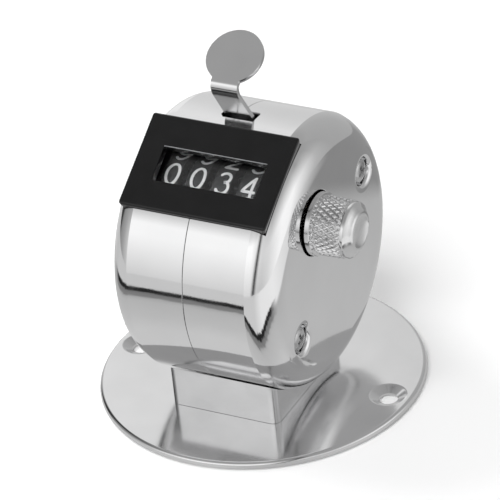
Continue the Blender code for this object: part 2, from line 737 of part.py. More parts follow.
def wire(name, path, radius, look):
    """Round wire along a path of points, with a frame that turns as little as it can."""
    work = bmesh.new()
    sides = 6
    points = [Vector(point) for point in path]
    across = Vector((1.0, 0.0, 0.0))
    rings = []
    for index, point in enumerate(points):
        before = points[max(index - 1, 0)]
        after = points[min(index + 1, len(points) - 1)]
        along = (after - before).normalized()
        across = (across - along * across.dot(along)).normalized()
        third = along.cross(across)
        ring = []
        for side in range(sides):
            angle = 2.0 * math.pi * side / sides
            place = point + radius * (across * math.cos(angle) + third * math.sin(angle))
            ring.append(work.verts.new(place))
        rings.append(ring)
    for lower, upper in zip(rings, rings[1:]):
        for side in range(sides):
            after = (side + 1) % sides
            work.faces.new([lower[side], lower[after], upper[after], upper[side]])
    work.faces.new(rings[0])
    work.faces.new(rings[-1])
    return solid(name, work, look)


def build_return_spring(look):
    """Torsion spring: one leg reaches down to the front pillar, the other lifts the left arm."""
    steps = 16 * SPRING_TURNS
    start = math.radians(180.0)
    coil = []
    for step in range(steps + 1):
        angle = start + 2.0 * math.pi * SPRING_TURNS * step / steps
        x = SPRING_LEFT + (SPRING_RIGHT - SPRING_LEFT) * step / steps
        y, z = on_axis("X", x, SPRING_COIL, angle, (PIVOT_Y, PIVOT_Z))[1:]
        coil.append((x, y, z))
    still = [(SPRING_LEFT, y * MM, z * MM) for y, z in ((-14.2, 25.0), (-16.0, 31.0), (-18.3, 38.0))]
    lifting = [(SPRING_RIGHT, y * MM, z * MM) for y, z in ((-18.0, 38.7), (-15.5, 39.4), (-8.6, 43.2))]
    hook = [(SPRING_RIGHT + reach * MM, -8.0 * MM, 43.5 * MM) for reach in (0.2, 1.0)]
    return wire("lever_return_spring", still + coil + lifting + hook, SPRING_WIRE, look)


def build_pawl(look):
    """Pawl that hangs behind the ratchet from its pin on the yoke."""
    boss = arc((PAWL_PIN_Y / MM, PAWL_PIN_Z / MM), 1.4, -20, 200, 8)
    outline = boss + [(1.7, 46.0), (1.1, 42.9), (1.1, 42.15), (2.2, 42.5), (3.5, 46.0)]
    pawl = prism("drive_pawl", millimetres(outline), RATCHET_LEFT, RATCHET_RIGHT, look)
    bore = PAWL_PIN_RADIUS + GAP
    cut(pawl, rod("tool", (PAWL_PIN_Y, PAWL_PIN_Z), 0.0, 20.0 * MM, bore, steps=16))
    pivot_at(pawl, (RATCHET_LEFT, PAWL_PIN_Y, PAWL_PIN_Z))
    return pawl


def build_pawl_pin(look):
    place = (PAWL_PIN_Y, PAWL_PIN_Z)
    return rod("drive_pawl_pin", place, 7.0 * MM, 12.6 * MM, PAWL_PIN_RADIUS, look, steps=16)


def build_pawl_spring(look):
    """Leaf that keeps the pawl against the ratchet."""
    stations = [(5.3, 48.3, 0.4), (5.0, 46.4, 0.4), (4.1, 44.6, 0.4)]
    leaf = strip("pawl_spring", stations, 0.3 * MM, look)
    move(leaf, Matrix.Translation(((RATCHET_LEFT + RATCHET_RIGHT) / 2.0, 0.0, 0.0)))
    return leaf


def clear_scene():
    for item in list(bpy.data.objects):
        bpy.data.objects.remove(item)


def build_materials():
    return {
        "chrome": material("polished_chrome", (0.78, 0.78, 0.79), 1.0, 0.08),
        "steel": material("plain_steel", (0.56, 0.56, 0.57), 1.0, 0.35),
        "bezel": material("black_gloss_plastic", (0.012, 0.012, 0.013), 0.0, 0.25),
        "lens": material("clear_lens", (0.9, 0.92, 0.93), 0.0, 0.05),
        "wheel": material("black_wheel_plastic", (0.02, 0.02, 0.021), 0.0, 0.5),
        "gear": material("white_gear_plastic", (0.75, 0.74, 0.7), 0.0, 0.5),
        "brass": material("brass", (0.72, 0.52, 0.25), 1.0, 0.3),
        "spring": material("spring_steel", (0.5, 0.5, 0.52), 1.0, 0.3),
    }


def main():
    clear_scene()
    looks = build_materials()
    base = [build_base_plate(looks["chrome"]), build_pedestal(looks["chrome"])]
    case = [build_left_shell(looks["chrome"]), build_right_shell(looks["chrome"])]
    case += [build_bezel(looks["bezel"]), build_lens(looks["lens"])]
    for word, side in (("left", -1.0), ("right", 1.0)):
        base.append(build_base_screw("base_screw_" + word, side, looks["steel"]))
        base.append(build_base_nut("base_nut_" + word, side, looks["steel"]))
    for word, place in case_screw_places().items():
        case.append(build_case_post("case_post_" + word, place, looks["brass"]))
        case.append(build_case_screw("case_screw_" + word, place, looks["chrome"]))
    frame = [build_plate("left_frame_plate", LEFT_PLATE_X, looks["steel"])]
    frame.append(build_plate("right_frame_plate", RIGHT_PLATE_X, looks["steel"]))
    frame += [build_tie_rod(name, place, looks["steel"]) for name, place in TIE_RODS.items()]
    place = pinion_place()
    frame.append(rod("pinion_shaft", place, -12.3 * MM, 11.0 * MM, PINION_SHAFT_RADIUS, looks["steel"]))
    frame += [build_pivot_pin(looks["steel"]), build_return_spring(looks["spring"])]
    frame.append(build_detent(looks["spring"]))
    wheels = [
        build_wheel("number_wheel_" + word, number, looks["wheel"])
        for number, word in enumerate(WHEEL_NAMES)
    ]
    wheels.append(build_ratchet(looks["brass"]))
    pinions = [
        build_pinion("carry_pinion_" + word, number, looks["gear"])
        for number, word in enumerate(WHEEL_NAMES[:-1])
    ]
    reset = [build_shaft(looks["steel"]), build_shaft_clip(looks["spring"]), build_knob(looks["chrome"])]
    lever = [build_lever(looks["chrome"]), build_pawl(looks["brass"])]
    lever += [build_pawl_pin(looks["steel"]), build_pawl_spring(looks["spring"])]
    assemblies = {
        "base_group": ((0.0, 0.0, 0.0), base), "case_group": ((0.0, CASE_Y, CASE_Z), case),
        "frame_group": ((0.0, CASE_Y, CASE_Z), frame),
        "wheel_axis": ((0.0, SHAFT_Y, SHAFT_Z), wheels + reset),
        "pinion_axis": ((0.0, place[0], place[1]), pinions),
        "lever_axis": ((0.0, PIVOT_Y, PIVOT_Z), lever),
    }
    for name, (point, members) in assemblies.items():
        for member in members:
            shade(member)
        group(name, point, members)


main()
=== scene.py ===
import json
import math

import bmesh
import bpy
from mathutils import Matrix, Vector


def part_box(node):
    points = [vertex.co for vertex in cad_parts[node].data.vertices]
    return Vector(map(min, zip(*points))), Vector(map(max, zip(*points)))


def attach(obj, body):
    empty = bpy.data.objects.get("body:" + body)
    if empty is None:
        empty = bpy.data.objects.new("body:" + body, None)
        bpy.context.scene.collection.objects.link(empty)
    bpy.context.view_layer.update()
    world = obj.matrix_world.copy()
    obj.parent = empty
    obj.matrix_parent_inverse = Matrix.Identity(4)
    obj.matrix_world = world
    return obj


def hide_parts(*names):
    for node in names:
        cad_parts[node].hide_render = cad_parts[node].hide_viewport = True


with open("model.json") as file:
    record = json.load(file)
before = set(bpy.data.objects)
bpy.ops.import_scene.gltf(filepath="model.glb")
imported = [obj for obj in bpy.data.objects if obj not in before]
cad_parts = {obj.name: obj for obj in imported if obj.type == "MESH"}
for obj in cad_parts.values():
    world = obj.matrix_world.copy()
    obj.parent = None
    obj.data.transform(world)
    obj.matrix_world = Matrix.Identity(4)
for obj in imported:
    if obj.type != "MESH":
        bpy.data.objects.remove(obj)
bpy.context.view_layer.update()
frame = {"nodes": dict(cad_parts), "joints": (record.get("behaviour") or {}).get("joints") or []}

MM = 0.001

# Places and main sizes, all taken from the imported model
BASE_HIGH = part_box("base_plate")[1]
PEDESTAL_LOW, PEDESTAL_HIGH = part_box("pedestal")
LEFT_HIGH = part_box("left_shell")[1]
RIGHT_LOW, RIGHT_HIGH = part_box("right_shell")
BEZEL_LOW, BEZEL_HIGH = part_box("window_bezel")
KNOB_LOW, KNOB_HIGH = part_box("reset_knob")
LEVER_LOW, LEVER_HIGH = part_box("thumb_lever")
SHAFT_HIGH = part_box("wheel_shaft")[1]
WHEEL_NAMES = ["thousands", "hundreds", "tens", "units"]
JOINTS = {joint["name"]: joint for joint in frame["joints"]}

DISC_RADIUS = BASE_HIGH.x
DISC_HEIGHT = BASE_HIGH.z
CASE_RADIUS = (RIGHT_HIGH.y - RIGHT_LOW.y) / 2.0
CASE_Y = (RIGHT_HIGH.y + RIGHT_LOW.y) / 2.0
CASE_Z = RIGHT_LOW.z + CASE_RADIUS
HALF_WIDTH = RIGHT_HIGH.x
SHAFT_Y = (KNOB_LOW.y + KNOB_HIGH.y) / 2.0
SHAFT_Z = (KNOB_LOW.z + KNOB_HIGH.z) / 2.0

# Shape of the case: a cylinder that meets the rounded shoulders at a soft crease
SHOULDER = 6.8 * MM
CREASE_X = 11.6 * MM
WALL = 0.9 * MM
SEAM_HALF_GAP = 0.045 * MM
SEAM_ROUND = 0.1 * MM
CASE_STEPS = 192
SHOULDER_STEPS = 14
GAP = 0.3 * MM
SHOULDER_X = HALF_WIDTH - SHOULDER
CREASE_TURN = math.asin((CREASE_X - SHOULDER_X) / SHOULDER)
SHOULDER_RADIUS = CASE_RADIUS - SHOULDER * math.cos(CREASE_TURN)

# Bezel frame: across X, up the slope, out of the face
SLOPE = math.radians(31.9)
BEZEL_HALF = (14.55 * MM, 9.25 * MM)
BEZEL_DEPTH = 4.3 * MM
BEZEL_DRAFT = 0.28
WINDOW_X = 0.3 * MM
WINDOW_UP = -0.34 * MM
WINDOW_HALF = (10.15 * MM, 3.37 * MM)
OUT = Vector((0.0, -math.sin(SLOPE), math.cos(SLOPE)))
UP = Vector((0.0, math.cos(SLOPE), math.sin(SLOPE)))


# Mesh helpers

def put(name, work):
    """Makes an object from a closed bmesh, faces out."""
    bmesh.ops.recalc_face_normals(work, faces=work.faces)
    mesh = bpy.data.meshes.new(name)
    work.to_mesh(mesh)
    work.free()
    made = bpy.data.objects.new(name, mesh)
    bpy.context.scene.collection.objects.link(made)
    return made


def bake_modifiers(made):
    bpy.context.view_layer.update()
    graph = bpy.context.evaluated_depsgraph_get()
    mesh = bpy.data.meshes.new_from_object(made.evaluated_get(graph))
    made.modifiers.clear()
    mesh.name = made.name
    made.data = mesh
    return made


def combine(target, tools, operation):
    for tool in tools:
        step = target.modifiers.new("step", "BOOLEAN")
        step.operation = operation
        step.object = tool
        step.solver = "EXACT"
        bake_modifiers(target)
        bpy.data.objects.remove(tool)
    return target


def cut(target, *tools):
    return combine(target, tools, "DIFFERENCE")


def fuse(target, *tools):
    return combine(target, tools, "UNION")


def soften(made, width, segments=3, angle=30.0):
    step = made.modifiers.new("edge", "BEVEL")
    step.width = width
    step.segments = segments
    step.limit_method = "ANGLE"
    step.angle_limit = math.radians(angle)
    step.miter_outer = "MITER_ARC"
    return bake_modifiers(made)


def smooth(made, angle=35.0):
    made.data.shade_smooth()
    made.data.set_sharp_from_angle(angle=math.radians(angle))
    return made


def weigh_normals(made):
    """Keeps broad flat faces flat where they run into rounded edges."""
    step = made.modifiers.new("normals", "WEIGHTED_NORMAL")
    step.keep_sharp = True
    step.weight = 80
    return bake_modifiers(made)


def set_normals(made, exact_normal):
    """Gives a mesh the true normals of the surface that it approximates."""
    mesh = made.data
    normals = [Vector(corner.vector) for corner in mesh.corner_normals]
    for face in mesh.polygons:
        for index in face.loop_indices:
            point = mesh.vertices[mesh.loops[index].vertex_index].co
            exact = exact_normal(point, face.center)
            if exact is not None and exact.dot(face.normal) > 0.93:
                normals[index] = exact
    mesh.normals_split_custom_set([tuple(normal) for normal in normals])
    return made


def arc(centre, radius, start, end, steps):
    """Points from one angle to another, in degrees."""
    points = []
    for step in range(steps + 1):
        angle = math.radians(start + (end - start) * step / steps)
        points.append((centre[0] + radius * math.cos(angle), centre[1] + radius * math.sin(angle)))
    return points


def bridge(work, lower, upper):
    """Joins two closed rings of points with four-sided faces."""
    count = len(lower)
    for step in range(count):
        after = (step + 1) % count
        work.faces.new([lower[step], lower[after], upper[after], upper[step]])


def lathe(name, profile, axis, centre, steps, ring=False):
    """Turns (along, radius) points about a line parallel to X or Z."""
    work = bmesh.new()
    loops = []
    for along, radius in profile:
        loop = []
        for step in range(steps if radius > 0.0 else 1):
            angle = 2.0 * math.pi * step / steps
            first = centre[0] + radius * math.cos(angle)
            second = centre[1] + radius * math.sin(angle)
            loop.append(work.verts.new((along, first, second) if axis == "X" else (first, second, along)))
        loops.append(loop)
    pairs = list(zip(loops, loops[1:]))
    if ring:
        pairs.append((loops[-1], loops[0]))
    for lower, upper in pairs:
        if len(lower) == len(upper) == 1:
            continue
        for step in range(steps):
            after = (step + 1) % steps
            corners = [lower[step % len(lower)], lower[after % len(lower)]]
            corners += [upper[after % len(upper)], upper[step % len(upper)]]
            work.faces.new(list(dict.fromkeys(corners)))
    return put(name, work)


def prism(name, outline, low, high, axis="X"):
    """Extrudes (y, z) points along X, or (x, y) points along Z."""
    work = bmesh.new()
    ends = []
    for level in (low, high):
        places = [(level, a, b) if axis == "X" else (a, b, level) for a, b in outline]
        ends.append([work.verts.new(place) for place in places])
    work.faces.new(ends[0])
    work.faces.new(ends[1])
    bridge(work, *ends)
    return put(name, work)


def block(name, low, high):
    outline = [(low[0], low[1]), (high[0], low[1]), (high[0], high[1]), (low[0], high[1])]
    return prism(name, outline, low[2], high[2], axis="Z")


def rod(name, centre, low, high, radius, axis="X", steps=64):
    return lathe(name, [(low, 0.0), (low, radius), (high, radius), (high, 0.0)], axis, centre, steps)


def millimetres(points):
    return [(a * MM, b * MM) for a, b in points]


def bezel_centre():
    middle = (BEZEL_LOW + BEZEL_HIGH) / 2.0
    return Vector((0.0, middle.y, middle.z)) + OUT * BEZEL_DEPTH / 2.0


def to_bezel(made):
    made.data.transform(Matrix.Translation(bezel_centre()) @ Matrix.Rotation(SLOPE, 4, "X"))
    return made


def bezel_block(name, half, low, high, x=0.0, up=0.0):
    made = block(name, (x - half[0], up - half[1], low), (x + half[0], up + half[1], high))
    return to_bezel(made)


def middle_of(node):
    """Middle of a CAD node's box, seen from above."""
    low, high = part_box(node)
    return ((low.x + high.x) / 2.0, (low.y + high.y) / 2.0)


def dress(made, body, slot, look, *replaced):
    """Gives a piece its material and body, and hides the CAD nodes that it stands for. The slot argument is
    not used.
    """
    made.data.materials.clear()
    for finish in look if isinstance(look, (list, tuple)) else [look]:
        made.data.materials.append(finish)
    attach(made, body)
    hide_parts(*replaced)
    return made


# Materials

def noise(tree, scale, detail=3.0, stretch=(1.0, 1.0, 1.0)):
    """Noise in the piece's own coordinates; scale is in cycles per metre."""
    place = tree.nodes.new("ShaderNodeTexCoord")
    mapping = tree.nodes.new("ShaderNodeMapping")
    mapping.inputs["Scale"].default_value = stretch
    texture = tree.nodes.new("ShaderNodeTexNoise")
    texture.inputs["Scale"].default_value = scale
    texture.inputs["Detail"].default_value = detail
    tree.links.new(place.outputs["Object"], mapping.inputs["Vector"])
    tree.links.new(mapping.outputs["Vector"], texture.inputs["Vector"])
    return texture.outputs["Fac"]


def mapped(tree, source, low, high, start=0.3, end=0.7):
    node = tree.nodes.new("ShaderNodeMapRange")
    node.inputs["From Min"].default_value = start
    node.inputs["From Max"].default_value = end
    node.inputs["To Min"].default_value = low
    node.inputs["To Max"].default_value = high
    tree.links.new(source, node.inputs["Value"])
    return node.outputs["Result"]


def tinted(tree, source, dark, light, start=0.3, end=0.7):
    ramp = tree.nodes.new("ShaderNodeValToRGB")
    ramp.color_ramp.elements[0].position = start
    ramp.color_ramp.elements[0].color = (*dark, 1.0)
    ramp.color_ramp.elements[1].position = end
    ramp.color_ramp.elements[1].color = (*light, 1.0)
    tree.links.new(source, ramp.inputs["Fac"])
    return ramp.outputs["Color"]


def bumped(tree, layers):
    """Stacks bump nodes; each layer is (height source, distance in metres, strength)."""
    last = None
    for source, distance, strength in layers:
        bump = tree.nodes.new("ShaderNodeBump")
        bump.inputs["Distance"].default_value = distance
        bump.inputs["Strength"].default_value = strength
        tree.links.new(source, bump.inputs["Height"])
        if last:
            tree.links.new(last, bump.inputs["Normal"])
        last = bump.outputs["Normal"]
    return last


def finish_material(name, metallic, dark, light, rough, patch, layers, stretch=(1.0, 1.0, 1.0), **extra):
    """Principled material with mottled colour, mottled roughness and layered bump.

    patch is the mottling's scale; layers is a list of (scale, detail, stretch, distance, strength).
    """
    made = bpy.data.materials.new(name)
    made.use_nodes = True
    tree = made.node_tree
    shader = tree.nodes["Principled BSDF"]
    shader.inputs["Metallic"].default_value = metallic
    for socket, value in extra.items():
        shader.inputs[socket.replace("_", " ")].default_value = value
    mottle = noise(tree, patch, 4.0, stretch)
    tree.links.new(tinted(tree, mottle, dark, light), shader.inputs["Base Color"])
    smudge = noise(tree, patch * 2.3, 5.0, stretch)
    tree.links.new(mapped(tree, smudge, rough[0], rough[1]), shader.inputs["Roughness"])
    stacked = [
        (noise(tree, scale, detail, along), distance, strength)
        for scale, detail, along, distance, strength in layers
    ]
    if stacked:
        tree.links.new(bumped(tree, stacked), shader.inputs["Normal"])
    return made


def grey(level):
    """Nearly neutral metal colour, a touch cool."""
    return (level, level, level * 1.004)


def roughen_below(made, low, high, extra):
    """Adds roughness to a material between two heights, in the piece's own coordinates."""
    tree = made.node_tree
    shader = tree.nodes["Principled BSDF"]
    place = tree.nodes.new("ShaderNodeTexCoord")
    split = tree.nodes.new("ShaderNodeSeparateXYZ")
    tree.links.new(place.outputs["Object"], split.inputs["Vector"])
    wear_and_highlight = mapped(tree, split.outputs["Z"], extra, 0.0, low, high)
    total = tree.nodes.new("ShaderNodeMath")
    tree.links.new(shader.inputs["Roughness"].links[0].from_socket, total.inputs[0])
    tree.links.new(wear_and_highlight, total.inputs[1])
    tree.links.new(total.outputs[0], shader.inputs["Roughness"])
    return made


def build_looks():
    even = (1.0, 1.0, 1.0)
    return {
        "case": finish_material(
            "case_chrome_finish", 1.0, grey(0.86), grey(0.9), (0.04, 0.085), 90.0,
            [(55.0, 2.0, even, 0.00004, 0.35), (2600.0, 2.0, even, 0.000005, 0.35)],
        ),
        "base": finish_material(
            "base_chrome_finish", 1.0, grey(0.79), grey(0.86), (0.1, 0.17), 70.0,
            [(1400.0, 4.0, (0.05, 1.0, 1.0), 0.000008, 0.4), (3000.0, 2.0, even, 0.000003, 0.3)],
        ),
        "pedestal": finish_material(
            "pedestal_chrome_finish", 1.0, grey(0.83), grey(0.89), (0.14, 0.22), 160.0,
            [(2400.0, 3.0, even, 0.00001, 0.35)],
        ),
        "lever": roughen_below(finish_material(
            "lever_chrome_finish", 1.0, grey(0.85), grey(0.9), (0.08, 0.13), 120.0,
            [(500.0, 3.0, (1.0, 0.1, 0.1), 0.000008, 0.3)],
        ), 60.2 * MM, 61.6 * MM, 0.13),
        "knob": finish_material(
            "knob_chrome_finish", 1.0, grey(0.74), grey(0.86), (0.08, 0.14), 300.0,
            [(3000.0, 3.0, even, 0.000008, 0.4)],
        ),
        "screw": finish_material(
            "screw_steel_finish", 1.0, grey(0.5), grey(0.68), (0.16, 0.3), 900.0,
            [(2600.0, 3.0, even, 0.00001, 0.5)],
        ),
        "steel": finish_material(
            "plain_steel_finish", 1.0, grey(0.45), grey(0.6), (0.28, 0.45), 400.0,
            [(1800.0, 4.0, (1.0, 0.15, 1.0), 0.00001, 0.5)],
        ),
        "spring": finish_material(
            "spring_steel_finish", 1.0, grey(0.35), grey(0.5), (0.22, 0.35), 700.0,
            [(3000.0, 3.0, even, 0.000006, 0.4)],
        ),
        "brass": finish_material(
            "brass_finish", 1.0, (0.58, 0.4, 0.17), (0.74, 0.54, 0.26), (0.2, 0.36), 500.0,
            [(2200.0, 3.0, even, 0.000008, 0.4)],
        ),
        "bezel": finish_material(
            "bezel_plastic_finish", 0.0, (0.003, 0.003, 0.0031), (0.005, 0.005, 0.0052), (0.16, 0.26), 260.0,
            [(2600.0, 3.0, even, 0.000008, 0.35)], IOR=1.46,
        ),
        "wheel": finish_material(
            "wheel_plastic_finish", 0.0, (0.005, 0.005, 0.0052), (0.009, 0.009, 0.0093), (0.45, 0.6), 600.0,
            [(3200.0, 3.0, even, 0.00001, 0.5)],
        ),
        "digit": finish_material(
            "digit_paint_finish", 0.0, (0.46, 0.46, 0.455), (0.56, 0.56, 0.555), (0.5, 0.65), 1500.0,
            [(4000.0, 3.0, even, 0.00001, 0.6)],
        ),
        "gear": finish_material(
            "gear_plastic_finish", 0.0, (0.66, 0.65, 0.61), (0.78, 0.77, 0.73), (0.4, 0.55), 500.0,
            [(2500.0, 3.0, even, 0.00001, 0.4)],
        ),
        "lens": finish_material(
            "lens_clear_finish", 0.0, (0.93, 0.94, 0.95), (0.96, 0.97, 0.98), (0.02, 0.05), 200.0,
            [(150.0, 2.0, even, 0.00001, 0.2)], Transmission_Weight=1.0, IOR=1.49,
        ),
        # Lighter grey for the window's upper rim: a painted highlight.
        "bezel_rim": finish_material(
            "bezel_rim_painted_highlight", 0.0, (0.16, 0.165, 0.17), (0.24, 0.245, 0.25), (0.25, 0.4), 900.0,
            [(2500.0, 3.0, even, 0.00001, 0.5)],
        ),
    }


# Base

BASE_SCREW_HOLE = 1.8 * MM
BASE_SCREW_REACH = 12.0 * MM


def build_disc(looks):
    """Thin disc with a rounded upper edge, a small lower chamfer and countersunk holes."""
    rounding = 0.7 * MM
    corner = (DISC_RADIUS - rounding, DISC_HEIGHT - rounding)
    edge = [(height, radius) for radius, height in arc(corner, rounding, 0, 90, 10)]
    chamfer = 0.2 * MM
    profile = [(0.0, 0.0), (0.0, DISC_RADIUS - chamfer), (chamfer, DISC_RADIUS)]
    disc = lathe("base_disc", profile + edge + [(DISC_HEIGHT, 0.0)], "Z", (0.0, 0.0), 256)
    hole_offset = 25.4 * MM
    hole_radius = 1.7 * MM
    sink_radius = 3.3 * MM
    sink_depth = 0.9 * MM
    lip = 0.2 * MM
    for side in (-1.0, 1.0):
        cone = [(-MM, 0.0), (-MM, hole_radius), (DISC_HEIGHT - sink_depth, hole_radius)]
        for share in (0.0, 0.33, 0.66, 1.0):
            spread = sink_radius - lip + lip * (1.4 * share * share + share)
            cone.append((DISC_HEIGHT - lip * (1.0 - share), spread))
        cone += [(DISC_HEIGHT + MM, sink_radius + 6.0 * lip), (DISC_HEIGHT + MM, 0.0)]
        cut(disc, lathe("tool", cone, "Z", (side * hole_offset, 0.0), 72))
    for side in ("left", "right"):
        head = 2.9 * MM
        seat = [
            (-MM, 0.0), (-MM, head), (0.1 * MM, head), (1.1 * MM, BASE_SCREW_HOLE),
            (DISC_HEIGHT + MM, BASE_SCREW_HOLE), (DISC_HEIGHT + MM, 0.0),
        ]
        cut(disc, lathe("tool", seat, "Z", middle_of("base_screw_" + side), 48))
    smooth(disc, 30.0)

    def exact(point, middle):
        radial = math.hypot(point.x, point.y)
        if abs(point.z - DISC_HEIGHT) < 0.002 * MM and radial < corner[0] + 0.01 * MM:
            return Vector((0.0, 0.0, 1.0))
        if radial > corner[0] and point.z > corner[1] - 0.001 * MM:
            flat = (point.z - corner[1]) / rounding
            out = (radial - corner[0]) / rounding
            return Vector((point.x / radial * out, point.y / radial * out, flat)).normalized()
        return None

    set_normals(disc, exact)
    return dress(disc, "case", "base_chrome", looks["base"], "base_plate")


def base_screw_tool(side):
    place = middle_of("base_screw_" + side)
    return rod("tool", place, 0.0, BASE_SCREW_REACH, BASE_SCREW_HOLE, axis="Z", steps=32)


def build_pedestal(looks):
    """Block with rounded upright corners and a saddle for the case."""
    corner = 1.6 * MM
    bottom = DISC_HEIGHT + 0.03 * MM
    top = 10.8 * MM
    half = PEDESTAL_HIGH.x
    front = PEDESTAL_LOW.y
    back = PEDESTAL_HIGH.y
    outline = []
    for x, y, start in ((half, back, 0), (-half, back, 90), (-half, front, 180), (half, front, 270)):
        middle = (x - math.copysign(corner, x), y - math.copysign(corner, y))
        outline += arc(middle, corner, start, start + 90, 12)
    pedestal = prism("pedestal_block", outline, bottom, top, axis="Z")
    saddle = rod("tool", (CASE_Y, CASE_Z), -HALF_WIDTH, HALF_WIDTH, CASE_RADIUS + GAP * 0.8, steps=CASE_STEPS)
    cut(pedestal, saddle)
    for side in ("left", "right"):
        cut(pedestal, base_screw_tool(side))
    soften(pedestal, 0.12 * MM, 2, 50.0)
    smooth(pedestal, 40.0)
    weigh_normals(pedestal)
    return dress(pedestal, "case", "pedestal_chrome", looks["pedestal"], "pedestal")


# Case

def shell_profile(side):
    """Closed wall section of one shell, with a rounded edge at the seam."""
    edge = (RIGHT_LOW.x + LEFT_HIGH.x) / 2.0 + side * SEAM_HALF_GAP
    round_centre = (edge + side * SEAM_ROUND, CASE_RADIUS - SEAM_ROUND)
    points = []
    for along, radius in arc((0.0, 0.0), SEAM_ROUND, 180, 90, 4):
        points.append((round_centre[0] + side * along, round_centre[1] + radius))
    middle = (SHOULDER_X, SHOULDER_RADIUS)
    start = 90.0 - math.degrees(CREASE_TURN)
    for along, radius in arc(middle, SHOULDER, start, 0, SHOULDER_STEPS):
        points.append((side * along, radius))
    points.append((side * HALF_WIDTH, 0.0))
    points.append((side * (HALF_WIDTH - WALL), 0.0))
    for along, radius in arc(middle, SHOULDER - WALL, 0, start, SHOULDER_STEPS // 2):
        points.append((side * along, radius))
    points.append((edge, CASE_RADIUS - WALL))
    return points


def case_normal(point, middle):
    """Normal of the case's outer surface where the point lies on it; middle is its face's centre."""
    near = 0.03 * MM
    across = abs(point.x)
    sign = math.copysign(1.0, point.x)
    y = point.y - CASE_Y
    z = point.z - CASE_Z
    radial = max(math.hypot(y, z), 1e-9)
    if abs(middle.x) < CREASE_X:
        if abs(radial - CASE_RADIUS) < near / 2.0:
            return Vector((0.0, y / radial, z / radial))
        return None
    if radial <= SHOULDER_RADIUS and abs(across - HALF_WIDTH) < 0.002 * MM:
        return Vector((sign, 0.0, 0.0))
    if across > CREASE_X - near and radial > SHOULDER_RADIUS:
        side_part = (across - SHOULDER_X) / SHOULDER
        round_part = (radial - SHOULDER_RADIUS) / SHOULDER
        if abs(math.hypot(side_part, round_part) - 1.0) < near / SHOULDER:
            normal = Vector((sign * side_part, y / radial * round_part, z / radial * round_part))
            return normal.normalized()
    return None


def slot_outline():
    return millimetres([(-2.9, 0.4), (3.1, 0.4), (3.1, 3.2), (2.8, 3.9), (-3.6, 3.9), (-3.6, 1.2)])


SCREW_LIFT = 0.3 * MM
SEAT_DEPTH = 1.6 * MM


def screw_places():
    places = []
    for word in ("upper", "lower"):
        low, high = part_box("case_screw_" + word)
        places.append(((low.y + high.y) / 2.0, (low.z + high.z) / 2.0, high.x + SCREW_LIFT))
    return places


def dish_tool(place):
    """Round recess with a soft rim, a wall and a flat floor."""
    rim = 3.9 * MM
    inner = 2.6 * MM
    floor = place[2] - SEAT_DEPTH
    profile = [(floor, 0.0), (floor, inner - 0.1 * MM), (floor + 0.1 * MM, inner)]
    drop = 0.7 * MM
    for step in range(9):
        turn = math.radians(90.0 * step / 8.0)
        along = HALF_WIDTH - drop + drop * math.sin(turn)
        profile.append((along, rim - (rim - inner) * math.cos(turn)))
    outside = rim + 0.1 * MM
    profile += [(HALF_WIDTH + 0.02 * MM, outside), (HALF_WIDTH + MM, outside), (HALF_WIDTH + MM, 0.0)]
    return lathe("tool", profile, "X", place[:2], 64)


def build_shells(looks):
    made = []
    for name, side, node in (("case_left", -1.0, "left_shell"), ("case_right", 1.0, "right_shell")):
        shell = lathe(name, shell_profile(side), "X", (CASE_Y, CASE_Z), CASE_STEPS, ring=True)
        cut(shell, drafted_block("tool", 0.08 * MM, -BEZEL_DEPTH - GAP, 3.0 * MM))
        slot_low = CASE_Z + 0.8 * CASE_RADIUS
        slot_high = CASE_Z + 1.2 * CASE_RADIUS
        cut(shell, prism("tool", slot_outline(), slot_low, slot_high, axis="Z"))
        cut(shell, base_screw_tool("right" if side > 0 else "left"))
        if side > 0:
            cut(shell, knob_hole_tool())
            for spot in screw_places():
                cup = rod("tool", spot[:2], spot[2] - SEAT_DEPTH - WALL, HALF_WIDTH - 0.4 * MM, 4.6 * MM)
                fuse(shell, cup)
                cut(shell, dish_tool(spot))
                cut(shell, rod("tool", spot[:2], 10.0 * MM, spot[2], 1.3 * MM, steps=32))
        smooth(shell, 32.0)
        set_normals(shell, case_normal)
        made.append(dress(shell, "case", "case_chrome", looks["case"], node))
    return made


def knob_hole_tool():
    radius = 5.95 * MM
    lip = 0.15 * MM
    profile = [(HALF_WIDTH - 2.0 * MM, 0.0), (HALF_WIDTH - 2.0 * MM, radius), (HALF_WIDTH - lip, radius)]
    for along, out in arc((0.0, 0.0), lip, 0, 90, 3)[1:]:
        profile.append((HALF_WIDTH - lip + out, radius + lip - along))
    profile += [(HALF_WIDTH + MM, radius + lip), (HALF_WIDTH + MM, 0.0)]
    return lathe("tool", profile, "X", (SHAFT_Y, SHAFT_Z), 128)


def build_screws(looks):
    """Pan heads with a domed top and a tapered cross recess."""
    shank = 1.0 * MM
    head = 2.2 * MM
    edge = 0.1 * MM
    rim_height = 0.42 * MM
    dome_height = 0.68 * MM
    fullness = 0.62
    for word, spot in zip(("upper", "lower"), screw_places()):
        top = spot[2]
        under = top - rim_height - dome_height
        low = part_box("case_screw_" + word)[0].x
        profile = [(low, 0.0), (low, 0.8 * shank), (low + 0.3 * MM, shank), (under, shank)]
        profile += [(under, head - edge), (under + edge, head), (under + rim_height, head)]
        for step in range(1, 8):
            turn = math.radians(90.0 * step / 8.0)
            along = under + rim_height + dome_height * math.sin(turn)
            profile.append((along, head * math.cos(turn) ** fullness))
        profile += [(top, 0.45 * MM), (top, 0.0)]
        screw = lathe("screw_" + word, profile, "X", spot[:2], 72)
        for turn in (20.0, 110.0):
            cut(screw, recess_tool(spot, math.radians(turn)))
        smooth(screw, 35.0)
        dress(screw, "case", "case_screw_steel", looks["screw"], "case_screw_" + word)


